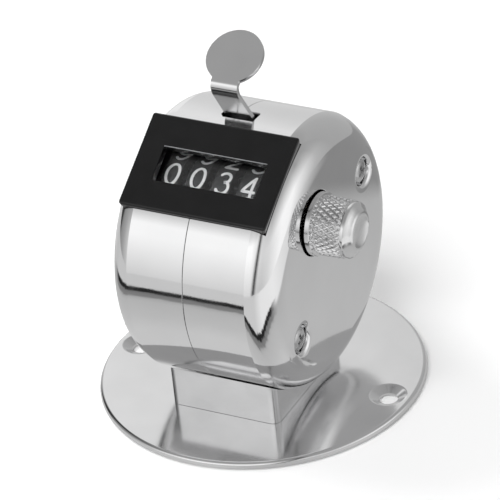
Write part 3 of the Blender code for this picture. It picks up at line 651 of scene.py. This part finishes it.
def recess_tool(spot, turn):
    """One arm of the cross recess: a wedge that narrows toward its bottom."""
    top = spot[2]
    work = bmesh.new()
    levels = ((top + 0.3 * MM, 1.5 * MM, 0.4 * MM), (top - 0.9 * MM, 0.55 * MM, 0.2 * MM))
    rings = []
    for along, reach, half in levels:
        ring = []
        for a, b in ((-reach, -half), (reach, -half), (reach, half), (-reach, half)):
            y = spot[0] + a * math.cos(turn) - b * math.sin(turn)
            z = spot[1] + a * math.sin(turn) + b * math.cos(turn)
            ring.append(work.verts.new((along, y, z)))
        rings.append(ring)
    work.faces.new(rings[0])
    work.faces.new(rings[1])
    bridge(work, *rings)
    return put("tool", work)


def drafted_block(name, margin, low, high):
    """Bezel-shaped block whose sides lean in toward the case."""
    made = block(name, (-BEZEL_HALF[0], -BEZEL_HALF[1], low), (BEZEL_HALF[0], BEZEL_HALF[1], high))
    for vertex in made.data.vertices:
        lean = BEZEL_DRAFT * vertex.co.z + margin
        vertex.co.x += math.copysign(1.0, vertex.co.x) * lean
        vertex.co.y += math.copysign(margin, vertex.co.y)
    return to_bezel(made)


def build_bezel(looks):
    """Moulded frame with bevelled outer edges, a window with a soft rim and a lens rebate; a lighter grey
    painted highlight runs along the window's upper rim.
    """
    frame_piece = drafted_block("bezel_frame", 0.0, -BEZEL_DEPTH, 0.0)
    soften(frame_piece, 0.5 * MM, 3, 30.0)
    rebate = 1.3 * MM
    rebate_half = (WINDOW_HALF[0] + rebate, WINDOW_HALF[1] + rebate)
    rebate_top = -1.6 * MM
    below = -10.0 * MM
    cut(frame_piece, bezel_block("tool", WINDOW_HALF, below, 5.0 * MM, WINDOW_X, WINDOW_UP))
    cut(frame_piece, bezel_block("tool", rebate_half, below, rebate_top, WINDOW_X, WINDOW_UP))
    soften(frame_piece, 0.13 * MM, 2, 60.0)
    smooth(frame_piece, 40.0)
    weigh_normals(frame_piece)
    dress(frame_piece, "case", "bezel_plastic", [looks["bezel"], looks["bezel_rim"]], "window_bezel")
    # Faces along the window's upper rim, in a band set just below, take the lighter grey of a painted
    # highlight.
    wear_and_highlight = 0.16 * MM
    for face in frame_piece.data.polygons:
        place = face.center - bezel_centre()
        at_rim = abs(place.dot(UP) - WINDOW_UP - WINDOW_HALF[1]) < wear_and_highlight and place.dot(OUT) > -wear_and_highlight
        across = abs(place.x - WINDOW_X) < WINDOW_HALF[0]
        face.material_index = int(at_rim and across and abs(face.normal.dot(UP)) > 0.3)
    return frame_piece


def build_pane(looks):
    """Clear pane with small bevels; it keeps no light from the wheels."""
    top = -1.9 * MM
    bottom = top - 1.0 * MM
    overlap = 1.0 * MM
    half = (WINDOW_HALF[0] + overlap, WINDOW_HALF[1] + overlap)
    pane = bezel_block("window_pane", half, bottom, top, WINDOW_X, WINDOW_UP)
    soften(pane, 0.1 * MM, 2, 30.0)
    smooth(pane, 40.0)
    weigh_normals(pane)
    dress(pane, "case", "lens_clear", looks["lens"], "window_lens")
    pane.visible_shadow = False
    return pane


# Number wheels

STROKE = 0.53 * MM
DIGIT_HALF = (1.17 * MM, 2.06 * MM)
DIGIT_TILT = math.radians(2.4)
PAINT_LIFT = 0.025 * MM
LAYER_LIFT = 0.003 * MM
SHOWN = {"thousands": 0, "hundreds": 0, "tens": 3, "units": 4}


def bow(centre, reach, start, end, steps=14):
    """Part of an ellipse, in degrees."""
    points = []
    for step in range(steps + 1):
        angle = math.radians(start + (end - start) * step / steps)
        points.append((centre[0] + reach[0] * math.cos(angle), centre[1] + reach[1] * math.sin(angle)))
    return points


def digit_lines(digit):
    """Centre lines of a digit in a box from -1 to 1, as (points, closed)."""
    if digit == 0:
        return [(bow((0, 0), (1, 1), 90, 450, 28)[:-1], True)]
    if digit == 1:
        return [([(-0.5, 0.55), (0.05, 1), (0.05, -1)], False), ([(-0.55, -1), (0.65, -1)], False)]
    if digit == 2:
        top = bow((0, 0.42), (0.95, 0.58), 165, -35, 14)
        return [(top + [(-0.95, -1), (1, -1)], False)]
    if digit == 3:
        upper = bow((-0.02, 0.5), (0.85, 0.5), 150, -75, 12)
        lower = bow((-0.05, -0.42), (1.0, 0.58), 80, -150, 14)
        return [(upper + lower, False)]
    if digit == 4:
        return [
            ([(0.5, 1), (-1, -0.42), (1, -0.42)], False), ([(0.5, 1), (0.5, -1)], False),
            ([(0.1, -1), (0.9, -1)], False),
        ]
    if digit == 5:
        bowl = bow((-0.05, -0.35), (1.0, 0.65), 125, -150, 16)
        return [([(0.85, 1), (-0.65, 1), (-0.8, 0.1)] + bowl[1:], False)]
    if digit in (6, 9):
        loop = bow((0, -0.38), (1, 0.62), 90, 450, 24)[:-1]
        tail = [(0.75, 0.8)] + bow((0.15, -0.1), (1.15, 1.1), 75, 178, 12)
        sign = 1 if digit == 6 else -1
        turned = [[(sign * a, sign * b) for a, b in line] for line in (loop, tail)]
        return [(turned[0], True), (turned[1], False)]
    if digit == 7:
        return [([(-0.95, 0.75), (-0.95, 1), (1, 1), (-0.15, -1)], False)]
    upper = bow((0, 0.54), (0.82, 0.46), 90, 450, 20)[:-1]
    lower = bow((0, -0.46), (1, 0.54), 90, 450, 24)[:-1]
    return [(upper, True), (lower, True)]


def dense(points, closed, step=0.16 * MM):
    """Adds points along a line so that it can bend round the rim."""
    loop = points + [points[0]] if closed else points
    made = []
    for start, end in zip(loop, loop[1:]):
        length = math.hypot(end[0] - start[0], end[1] - start[1])
        count = max(1, int(length / step))
        for part in range(count):
            share = part / count
            made.append((start[0] + (end[0] - start[0]) * share, start[1] + (end[1] - start[1]) * share))
    if not closed:
        made.append(loop[-1])
    return made


def add_stroke(work, points, closed, place, lift):
    """Lays a rounded ribbon of paint along a line on the rim; place maps (a, b, height)."""
    half = STROKE / 2.0
    sunk = -0.06 * MM
    count = len(points)
    rows = []
    for index, (a, b) in enumerate(points):
        before = points[index - 1] if closed or index else points[index]
        after = points[(index + 1) % count] if closed or index < count - 1 else points[index]
        along = Vector((after[0] - before[0], after[1] - before[1])).normalized()
        rows.append((a, b, along, half))
    if not closed:
        ends = []
        for row, sign in ((rows[0], -1.0), (rows[-1], 1.0)):
            cap = []
            for share in (0.5, 0.8, 0.96):
                a = row[0] + sign * row[2].x * half * share
                b = row[1] + sign * row[2].y * half * share
                cap.append((a, b, row[2], half * math.sqrt(1.0 - share * share)))
            ends.append(cap)
        rows = ends[0][::-1] + rows + ends[1]
    rings = []
    for a, b, along, wide in rows:
        left = (-along.y * wide, along.x * wide)
        right = (along.y * wide, -along.x * wide)
        corners = [(left, lift), (left, sunk), (right, sunk), (right, lift)]
        rings.append([work.verts.new(place(a + shift[0], b + shift[1], height)) for shift, height in corners])
    pairs = list(zip(rings, rings[1:]))
    if closed:
        pairs.append((rings[-1], rings[0]))
    else:
        work.faces.new(rings[0])
        work.faces.new(rings[-1])
    for lower, upper in pairs:
        bridge(work, lower, upper)


def build_digits(name, x, radius, shown):
    """All ten digits of one wheel, as paint on its rim."""
    work = bmesh.new()
    for digit in range(10):
        middle = DIGIT_TILT + math.radians(36.0) * ((shown - digit) % 10)

        def place(a, b, height, middle=middle):
            angle = middle + b / radius
            out = OUT * math.cos(angle) + UP * math.sin(angle)
            return Vector((x + a, SHAFT_Y, SHAFT_Z)) + out * (radius + height)

        for layer, (line, closed) in enumerate(digit_lines(digit)):
            sized = [(a * DIGIT_HALF[0], b * DIGIT_HALF[1]) for a, b in line]
            add_stroke(work, dense(sized, closed), closed, place, PAINT_LIFT + layer * LAYER_LIFT)
    return put(name, work)


def toothed(centre, teeth, tip, root, first):
    """Outline of a gear with straight-sided teeth."""
    pitch = 2.0 * math.pi / teeth
    points = []
    for tooth in range(teeth):
        for share, radius in ((-0.5, root), (-0.25, tip), (0.25, tip), (0.5, root)):
            angle = first + (tooth + share / 2.0) * pitch
            points.append((centre[0] + radius * math.cos(angle), centre[1] + radius * math.sin(angle)))
    return points


def build_wheels(looks):
    centre = (SHAFT_Y, SHAFT_Z)
    width = 3.6 * MM
    digits_from_left = 2.1 * MM
    edge = 0.15 * MM
    bore = 1.8 * MM
    gear_teeth = 20
    gear_tip = 7.35 * MM
    gear_root = 6.3 * MM
    gear_start = math.radians(-26.0)
    for word in WHEEL_NAMES:
        node = "number_wheel_" + word
        low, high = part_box(node)
        left = low.x
        right = left + width
        radius = (high.y - low.y) / 2.0
        profile = [(left, bore), (left, radius - 1.0 * MM), (left + 0.25 * MM, radius - 0.8 * MM)]
        profile += [(left + 0.05 * MM, radius - 0.6 * MM), (left, radius - edge), (left + edge, radius)]
        profile += [(right - edge, radius), (right, radius - edge), (right, bore)]
        wheel = lathe("wheel_" + word, profile, "X", centre, 120, ring=True)
        if high.x > right + 0.2 * MM:
            outline = toothed(centre, gear_teeth, gear_tip, gear_root, gear_start)
            ring = prism("tool", outline, right - 0.3 * MM, high.x)
            cut(ring, rod("tool", centre, -20.0 * MM, 20.0 * MM, bore))
            fuse(wheel, ring)
        smooth(wheel, 35.0)
        dress(wheel, word, "wheel_black", looks["wheel"], node)
        digits = build_digits("digits_" + word, left + digits_from_left, radius, SHOWN[word])
        smooth(digits, 40.0)
        digits.data.materials.append(looks["digit"])
        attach(digits, word)


# Reset knob

def build_knob(looks):
    """Flange, diamond-knurled grip, smooth collar, cone and a dished face."""
    face = HALF_WIDTH
    flange = KNOB_HIGH.y - SHAFT_Y
    around = 30
    samples = 12
    steps = around * samples
    pitch = 1.95 * MM
    back = face + 0.35 * MM
    start = face + 1.5 * MM
    end = face + 6.7 * MM
    deep = 0.5 * MM
    hub = KNOB_LOW.x
    bore = 1.8 * MM
    sleeve = 3.0 * MM
    groove_power = 2.6
    dish = 3.05
    rows = [(hub, bore), (hub, sleeve), (back, sleeve), (back, flange - 0.12 * MM)]
    rows += [(back + 0.12 * MM, flange), (back + 0.85 * MM, flange), (back + 0.97 * MM, flange - 0.1 * MM)]
    rows += [(start - 0.1 * MM, 5.3 * MM), (start, 5.1 * MM)]
    knurl_rows = int(round((end - start) / (pitch / samples)))
    work = bmesh.new()
    loops = []

    def ring(along, radii):
        loop = []
        for step in range(steps):
            angle = 2.0 * math.pi * step / steps
            radius = radii(step)
            y = SHAFT_Y + radius * math.cos(angle)
            z = SHAFT_Z + radius * math.sin(angle)
            loop.append(work.verts.new((along, y, z)))
        loops.append(loop)

    for along, radius in rows:
        ring(along, lambda step, radius=radius: radius)
    for row in range(1, knurl_rows + 1):
        along = start + row * pitch / samples
        share = row / knurl_rows
        grip = (5.48 - 0.16 * share) * MM
        edge = min(1.0, row / 3.0, (knurl_rows - row) / 3.0)

        def radii(step, row=row, grip=grip, edge=edge):
            first = ((step + row) % samples) / samples
            second = ((step - row) % samples) / samples
            groove = max(abs(2.0 * first - 1.0), abs(2.0 * second - 1.0))
            return grip - deep * (1.0 - edge * (1.0 - groove ** groove_power))

        ring(along, radii)
    tip = KNOB_HIGH.x
    collar = [
        (end + 0.12 * MM, 5.05), (end + 0.35 * MM, 5.12), (end + 0.75 * MM, 5.08), (end + 1.0 * MM, 4.9),
        (tip - 0.75 * MM, 4.3), (tip - 0.32 * MM, 3.85), (tip - 0.12 * MM, 3.62), (tip - 0.02 * MM, 3.4),
    ]
    collar += [(tip, 3.2), (tip - 0.02 * MM, dish)]
    for turn in (12, 25, 38, 52, 66, 78):
        sunk = 0.02 + 0.38 * math.sin(math.radians(turn))
        collar.append((tip - sunk * MM, dish * math.cos(math.radians(turn))))
    for along, radius in collar:
        ring(along, lambda step, radius=radius: radius * MM)
    for lower, upper in zip(loops, loops[1:]):
        bridge(work, lower, upper)
    top = work.verts.new((tip - 0.4 * MM, SHAFT_Y, SHAFT_Z))
    for step in range(steps):
        work.faces.new([loops[-1][step], loops[-1][(step + 1) % steps], top])
    shaft_end = SHAFT_HIGH.x + GAP
    inner = [work.verts.new((shaft_end, v.co.y, v.co.z)) for v in loops[0]]
    for step in range(steps):
        after = (step + 1) % steps
        work.faces.new([loops[0][after], loops[0][step], inner[step], inner[after]])
    deepest = work.verts.new((shaft_end, SHAFT_Y, SHAFT_Z))
    for step in range(steps):
        work.faces.new([inner[step], inner[(step + 1) % steps], deepest])
    knob = put("knurled_knob", work)
    smooth(knob, 28.0)
    return dress(knob, "reset", "knob_chrome", looks["knob"], "reset_knob")


# Thumb lever

PAD_RADIUS = 5.31 * MM
NECK = 2.6 * MM


def lever_path():
    """Front face of the strip as (y, z) points from the top of the pad to inside the case."""
    tilt = math.radians(31.2)
    pad = Vector((1.79, 66.06)) * MM
    along = Vector((-math.cos(tilt), -math.sin(tilt)))
    points = []
    for step in range(31):
        turn = math.radians(180.0 * step / 36.0)
        points.append(pad - along * PAD_RADIUS * math.cos(turn))
    front = -3.21
    foot = 2.5
    bend = arc((front + 1.44, 62.2), 1.44, 121.2, 180.0, 6)
    bend += arc((front + 3.8, 62.2), 3.8, 180.0, 211.6, 5)[1:]
    inside = arc((foot - 10.0, 49.0), 10.0, 31.6, 0.0, 8)
    straight = 6
    top_end = Vector(bend[-1])
    for step in range(1, straight):
        bend.append(top_end.lerp(Vector(inside[0]), step / straight))
    bend += inside
    bend.append((foot, 48.7))
    points += [Vector(place) * MM for place in bend]
    return points, pad, along


def lever_half_width(point, pad, along):
    """Half width of the sheet: the pad's circle, then a neck, then the strip."""
    reach = (point - pad).dot(along)
    if point.y > 63.3 * MM:
        inside = max(PAD_RADIUS * PAD_RADIUS - reach * reach, 0.0)
        return max(math.sqrt(inside), NECK if reach > 0 else 0.02 * MM)
    base = max(0.0, min(1.0, (60.8 * MM - point.y) / (8.0 * MM)))
    return NECK + 0.12 * MM * base


def bent_sheet(thick, columns):
    """The lever's sheet as a bmesh: a front and a back layer with closed edges."""
    points, pad, along = lever_path()
    work = bmesh.new()
    fronts = []
    backs = []
    count = len(points)
    for index, point in enumerate(points):
        before = points[max(index - 1, 0)]
        after = points[min(index + 1, count - 1)]
        heading = (after - before).normalized()
        back = Vector((-heading.y, heading.x))
        if back.x < 0:
            back = -back
        half = lever_half_width(point, pad, along)
        behind = point + back * thick
        front_row = []
        back_row = []
        for column in range(columns + 1):
            x = half * math.sin(math.radians(-90.0 + 180.0 * column / columns))
            front_row.append(work.verts.new((x, point.x, point.y)))
            back_row.append(work.verts.new((x, behind.x, behind.y)))
        fronts.append(front_row)
        backs.append(back_row)
    for layer in (fronts, backs):
        for lower, upper in zip(layer, layer[1:]):
            for column in range(columns):
                work.faces.new([lower[column], lower[column + 1], upper[column + 1], upper[column]])
    corners = [(index, column, index + 1, column) for index in range(count - 1) for column in (0, columns)]
    corners += [(index, column, index, column + 1) for index in (0, count - 1) for column in range(columns)]
    for row, column, next_row, next_column in corners:
        work.faces.new([
            fronts[row][column], fronts[next_row][next_column],
            backs[next_row][next_column], backs[row][column],
        ])
    return work


def build_lever(looks):
    """One sheet: round pad, rolled bend and strip, then the cross bar and arms."""
    thick = 0.8 * MM
    through = 20.0 * MM
    lever = put("lever_body", bent_sheet(thick, 16))
    soften(lever, 0.22 * MM, 3, 50.0)
    pivot = Vector(JOINTS["lever_press"]["pos_m"])
    left = LEVER_LOW.x
    right = LEVER_HIGH.x
    bar = block("tool", (left + 0.1 * MM, 1.6 * MM, 50.3 * MM), (right - 0.1 * MM, 4.5 * MM, 51.1 * MM))
    fuse(lever, bar)
    ear = arc((pivot.y / MM, pivot.z / MM), 2.1, 125, 300, 16)
    lower_edge = [(-10.0, 41.8), (-3.2, 46.0), (2.0, 48.0), (4.6, 48.0)]
    upper_edge = [(4.6, 51.1), (1.0, 51.1), (-3.2, 49.7), (-10.0, 45.5)]
    for start in (left, right - thick):
        arm = prism("tool", millimetres(ear + lower_edge + upper_edge), start, start + thick)
        fuse(lever, arm)
    cut(lever, rod("tool", (pivot.y, pivot.z), -through, through, 1.2 * MM, steps=32))
    pin_low, pin_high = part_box("drive_pawl_pin")
    pin = ((pin_low.y + pin_high.y) / 2.0, (pin_low.z + pin_high.z) / 2.0)
    cut(lever, rod("tool", pin, 10.9 * MM, 14.0 * MM, 1.0 * MM, steps=24))
    smooth(lever, 35.0)
    weigh_normals(lever)
    return dress(lever, "lever", "lever_chrome", looks["lever"], "thumb_lever")


# Parts of the mechanism that keep their CAD shape

def dress_frame(looks):
    finishes = {
        "steel": [
            "base_screw_left", "base_screw_right", "base_nut_left", "base_nut_right", "left_frame_plate",
            "right_frame_plate", "tie_rod_lower", "tie_rod_rear", "pinion_shaft", "lever_pivot_pin",
            "wheel_shaft", "drive_pawl_pin",
        ],
        "spring": ["lever_return_spring", "ratchet_detent", "shaft_clip", "pawl_spring"],
        "brass": ["case_post_upper", "case_post_lower", "ratchet_wheel", "drive_pawl"],
        "gear": ["carry_pinion_thousands", "carry_pinion_hundreds", "carry_pinion_tens"],
    }
    for finish, names in finishes.items():
        for name in names:
            for slot in frame["nodes"][name].material_slots:
                slot.material = looks[finish]


# Studio

def ramp_node(tree, source, stops):
    """Colour ramp through (position, grey level) stops."""
    ramp = tree.nodes.new("ShaderNodeValToRGB")
    marks = ramp.color_ramp.elements
    while len(marks) < len(stops):
        marks.new(0.5)
    for mark, (position, level) in zip(marks, stops):
        mark.position = position
        mark.color = (level, level, level, 1.0)
    tree.links.new(source, ramp.inputs["Fac"])
    return ramp.outputs["Color"]


def math_node(tree, operation, first, second=None):
    node = tree.nodes.new("ShaderNodeMath")
    node.operation = operation
    for socket, value in zip(node.inputs, (first, second)):
        if value is None:
            continue
        if isinstance(value, (int, float)):
            socket.default_value = value
        else:
            tree.links.new(value, socket)
    return node.outputs[0]


# Grey levels of the studio's walls: round the horizon from the front by the left, then by height
WALLS = [
    (-180, 0.95), (-135, 0.84), (-120, 0.57), (-105, 0.38), (-88, 0.27), (-82, 0.05), (-66, 0.05), (-60, 0.4),
    (-42, 0.9), (-31, 0.82), (-20, 0.53), (0, 0.44), (34, 0.4), (45, 0.5), (56, 0.78), (68, 1.04), (82, 1.05),
    (110, 0.78), (128, 0.7), (150, 0.8), (160, 0.95), (180, 0.95),
]
FRONT_HEIGHTS = [
    (-90, 0.6), (-20, 0.66), (4, 0.97), (20, 1.18), (29, 1.2), (36, 0.82), (44, 0.52), (60, 0.34), (90, 0.32),
]
RIGHT_HEIGHTS = [(-90, 0.9), (12, 1.0), (36, 0.42), (50, 0.38), (90, 0.33)]
BACK_HEIGHTS = [(-90, 1.0), (36, 1.0), (60, 0.72), (90, 0.7)]
TOP_START = 0.74


def mix_node(tree, kind, factor, first, second):
    node = tree.nodes.new("ShaderNodeMix")
    node.data_type = "RGBA"
    node.blend_type = kind
    if isinstance(factor, float):
        node.inputs["Factor"].default_value = factor
    else:
        tree.links.new(factor, node.inputs["Factor"])
    tree.links.new(first, node.inputs[6])
    tree.links.new(second, node.inputs[7])
    return node.outputs[2]


def build_world():
    """Soft tent: bright front and right walls, a darker back and top, and a dark slit at the front."""
    world = bpy.data.worlds.new("studio")
    bpy.context.scene.world = world
    world.use_nodes = True
    tree = world.node_tree
    tree.nodes.clear()
    place = tree.nodes.new("ShaderNodeTexCoord")
    split = tree.nodes.new("ShaderNodeSeparateXYZ")
    tree.links.new(place.outputs["Generated"], split.inputs["Vector"])
    to_degrees = 180.0 / math.pi
    height = math_node(tree, "MULTIPLY", math_node(tree, "ARCSINE", split.outputs["Z"]), to_degrees)
    height_share = math_node(tree, "DIVIDE", math_node(tree, "ADD", height, 90.0), 180.0)
    turn = math_node(tree, "ARCTAN2", split.outputs["X"], split.outputs["Y"])
    azimuth = math_node(tree, "MULTIPLY", turn, to_degrees)
    turn_share = math_node(tree, "DIVIDE", math_node(tree, "ADD", azimuth, 180.0), 360.0)
    walls = ramp_node(tree, turn_share, [((at + 180.0) / 360.0, level) for at, level in WALLS])
    front, right, back = [
        ramp_node(tree, height_share, [((at + 90.0) / 180.0, level) for at, level in heights])
        for heights in (FRONT_HEIGHTS, RIGHT_HEIGHTS, BACK_HEIGHTS)
    ]
    off_back = math_node(tree, "ABSOLUTE", math_node(tree, "ADD", azimuth, 5.0))
    to_right = ramp_node(tree, math_node(tree, "DIVIDE", off_back, 180.0), [(0.2, 0.0), (0.36, 1.0)])
    to_front = ramp_node(tree, math_node(tree, "DIVIDE", off_back, 180.0), [(0.62, 0.0), (0.8, 1.0)])
    sides = mix_node(tree, "MIX", to_right, back, right)
    heights = mix_node(tree, "MIX", to_front, sides, front)
    level = mix_node(tree, "MULTIPLY", 1.0, walls, heights)
    top_share = ramp_node(tree, height_share, [(TOP_START, 0.0), (TOP_START + 0.08, 1.0)])
    top = ramp_node(tree, height_share, [(TOP_START, 0.42), (TOP_START + 0.1, 0.36), (1.0, 0.33)])
    shade = mix_node(tree, "MIX", top_share, level, top)
    slit_azimuth = 148.0
    slit_half = 8.0
    slit_lean = 0.4
    lean = math_node(tree, "ADD", math_node(tree, "MULTIPLY", height, slit_lean), azimuth)
    off_slit = math_node(tree, "ABSOLUTE", math_node(tree, "SUBTRACT", lean, slit_azimuth))
    slit = math_node(tree, "MINIMUM", math_node(tree, "DIVIDE", off_slit, slit_half), 1.0)
    background = tree.nodes.new("ShaderNodeBackground")
    output = tree.nodes.new("ShaderNodeOutputWorld")
    tree.links.new(shade, background.inputs["Color"])
    tree.links.new(math_node(tree, "MAXIMUM", slit, 0.05), background.inputs["Strength"])
    tree.links.new(background.outputs["Background"], output.inputs["Surface"])


def plain_emitter(name, level):
    made = bpy.data.materials.new(name)
    made.use_nodes = True
    tree = made.node_tree
    tree.nodes.clear()
    glow = tree.nodes.new("ShaderNodeEmission")
    glow.inputs["Color"].default_value = (level, level, level, 1.0)
    output = tree.nodes.new("ShaderNodeOutputMaterial")
    tree.links.new(glow.outputs["Emission"], output.inputs["Surface"])
    return made


# The table's dark edge: a circle in millimetres, with a swell at the front left and a dent at the front
# right. Each is (height, middle, spread), in degrees from the back round by the left.
EDGE_DISTANCE = 85.0
EDGE_SWELL = (25.0, 158.0, 26.0)
EDGE_DENT = (-34.0, 212.0, 16.0)
TABLE_REACH = 220.0


def bell(value, height, middle, spread):
    return height * math.exp(-0.5 * ((value - middle) / spread) ** 2)


def between(value, stops):
    """Linear interpolation through (at, level) stops."""
    if value <= stops[0][0]:
        return stops[0][1]
    for (low, first), (high, second) in zip(stops, stops[1:]):
        if value <= high:
            return first + (second - first) * (value - low) / (high - low)
    return stops[-1][1]


def table_level(distance, azimuth):
    """Grey level of the table: lit near the counter, with a dark edge at the front and sides."""
    turn = 360.0 - azimuth if azimuth > 20.0 else -azimuth
    across = distance * math.sin(math.radians(azimuth))
    ragged = sum(reach * math.sin(rate * across) for reach, rate in ((0.9, 0.83), (0.7, 1.71), (0.6, 2.9)))
    edge = EDGE_DISTANCE + bell(turn, *EDGE_SWELL) + bell(turn, *EDGE_DENT) + ragged
    beyond = between(turn, [(100.0, 0.6), (210.0, 0.64), (225.0, 0.85), (260.0, 0.9)])
    front = between(distance / edge, [
        (0.38, 0.62), (0.5, 0.55), (0.7, 0.5), (0.77, 0.44), (0.795, 0.23), (0.9, 0.2), (0.92, 0.02),
        (1.045, 0.02), (1.075, beyond),
    ])
    far = between(azimuth, [
        (-90.0, 0.55), (-50.0, 0.75), (-20.0, 0.6), (5.0, 0.3), (40.0, 0.26), (60.0, 0.75), (100.0, 0.9),
    ])
    back = between(distance, [(40.0, 0.52), (74.0, 0.47), (82.0, far), (TABLE_REACH, far)])
    share = between(azimuth, [(-103.0, 1.0), (-85.0, 0.0), (96.0, 0.0), (114.0, 1.0)])
    return back + (front - back) * share


def build_table_card():
    """Table card that glows with the painted light and shade of a grey table, set on its points; only
    polished surfaces see it.
    """
    rings = 130
    sectors = 480
    work = bmesh.new()
    loops = []
    levels = []
    for ring in range(rings + 1):
        distance = TABLE_REACH * ring / rings
        loop = []
        for sector in range(sectors):
            azimuth = -180.0 + 360.0 * sector / sectors
            turn = math.radians(azimuth)
            place = (distance * MM * math.sin(turn), distance * MM * math.cos(turn), -0.3 * MM)
            loop.append(work.verts.new(place))
            levels.append(table_level(distance, azimuth))
        loops.append(loop)
    for inner, outer in zip(loops, loops[1:]):
        bridge(work, inner, outer)
    card = put("table_card", work)
    shades = card.data.color_attributes.new("shade", "FLOAT_COLOR", "POINT")
    for index, level in enumerate(levels):
        shades.data[index].color = (level, level, level, 1.0)
    look = plain_emitter("table_light", 1.0)
    paint = look.node_tree.nodes.new("ShaderNodeVertexColor")
    paint.layer_name = "shade"
    look.node_tree.links.new(paint.outputs["Color"], look.node_tree.nodes["Emission"].inputs["Color"])
    card.data.materials.append(look)
    for flag in ("visible_camera", "visible_diffuse", "visible_shadow", "visible_transmission"):
        setattr(card, flag, False)


def build_floor():
    """Pale diffuse floor, and a pale backdrop far behind it."""
    work = bmesh.new()
    reach = 6.0
    level = -0.5 * MM
    corners = ((-reach, -reach), (reach, -reach), (reach, reach), (-reach, reach))
    work.faces.new([work.verts.new((x, y, level)) for x, y in corners])
    floor = put("floor", work)
    look = bpy.data.materials.new("floor_paper")
    look.use_nodes = True
    shader = look.node_tree.nodes["Principled BSDF"]
    shader.inputs["Base Color"].default_value = (0.93, 0.93, 0.93, 1.0)
    shader.inputs["Roughness"].default_value = 0.9
    shader.inputs["Specular IOR Level"].default_value = 0.0
    tree = look.node_tree
    glow = tree.nodes.new("ShaderNodeEmission")
    place = tree.nodes.new("ShaderNodeTexCoord")
    length = tree.nodes.new("ShaderNodeVectorMath")
    length.operation = "LENGTH"
    tree.links.new(place.outputs["Object"], length.inputs[0])
    fade = tree.nodes.new("ShaderNodeMixShader")
    fade_start = 0.05
    fade_end = 0.5
    share = mapped(tree, length.outputs["Value"], 0.0, 1.0, fade_start, fade_end)
    tree.links.new(share, fade.inputs["Fac"])
    tree.links.new(shader.outputs["BSDF"], fade.inputs[1])
    tree.links.new(glow.outputs["Emission"], fade.inputs[2])
    tree.links.new(fade.outputs["Shader"], tree.nodes["Material Output"].inputs["Surface"])
    floor.data.materials.append(look)
    floor.visible_glossy = False
    sphere = bmesh.new()
    bmesh.ops.create_uvsphere(sphere, u_segments=48, v_segments=24, radius=9.0)
    backdrop = put("backdrop", sphere)
    backdrop.data.materials.append(plain_emitter("backdrop_light", 1.0))
    for flag in ("visible_diffuse", "visible_glossy", "visible_transmission", "visible_shadow"):
        setattr(backdrop, flag, False)


def add_lamp(name, place, size, power):
    data = bpy.data.lights.new(name, "AREA")
    data.shape = "DISK"
    data.size = size
    data.energy = power
    lamp = bpy.data.objects.new(name, data)
    lamp.location = place
    aim = Vector((0.0, 0.0, 0.04)) - Vector(place)
    lamp.rotation_euler = aim.to_track_quat("-Z", "Y").to_euler()
    lamp.visible_glossy = False
    bpy.context.scene.collection.objects.link(lamp)


def build_camera():
    """Long lens from the front right and above, turned a little about its own line of sight."""
    aim = Vector((0.8, -1.44, 27.96)) * MM
    distance = 730.0 * MM
    azimuth = math.radians(30.09)
    elevation = math.radians(31.9)
    roll = math.radians(-6.14)
    data = bpy.data.cameras.new("camera")
    data.lens = 293.24
    data.sensor_width = 36.0
    data.clip_start = 0.01
    data.clip_end = 50.0
    camera = bpy.data.objects.new("camera", data)
    turn = Matrix.Rotation(azimuth, 4, "Z") @ Matrix.Rotation(math.pi / 2.0 - elevation, 4, "X")
    turn = turn @ Matrix.Rotation(roll, 4, "Z")
    camera.matrix_world = Matrix.Translation(aim) @ turn @ Matrix.Translation((0.0, 0.0, distance))
    bpy.context.scene.collection.objects.link(camera)
    bpy.context.scene.camera = camera


def build_studio():
    build_world()
    build_table_card()
    build_floor()
    add_lamp("front_soft", (0.0, -0.75, 1.1), 0.9, 13.0)
    add_lamp("left_soft", (-1.0, 0.2, 1.0), 0.8, 9.0)
    build_camera()
    bpy.context.scene.view_settings.view_transform = "Standard"
    bpy.context.scene.view_settings.look = "None"


def main():
    looks = build_looks()
    build_disc(looks)
    build_pedestal(looks)
    build_shells(looks)
    build_screws(looks)
    build_bezel(looks)
    build_pane(looks)
    build_wheels(looks)
    build_knob(looks)
    build_lever(looks)
    dress_frame(looks)
    build_studio()


main()
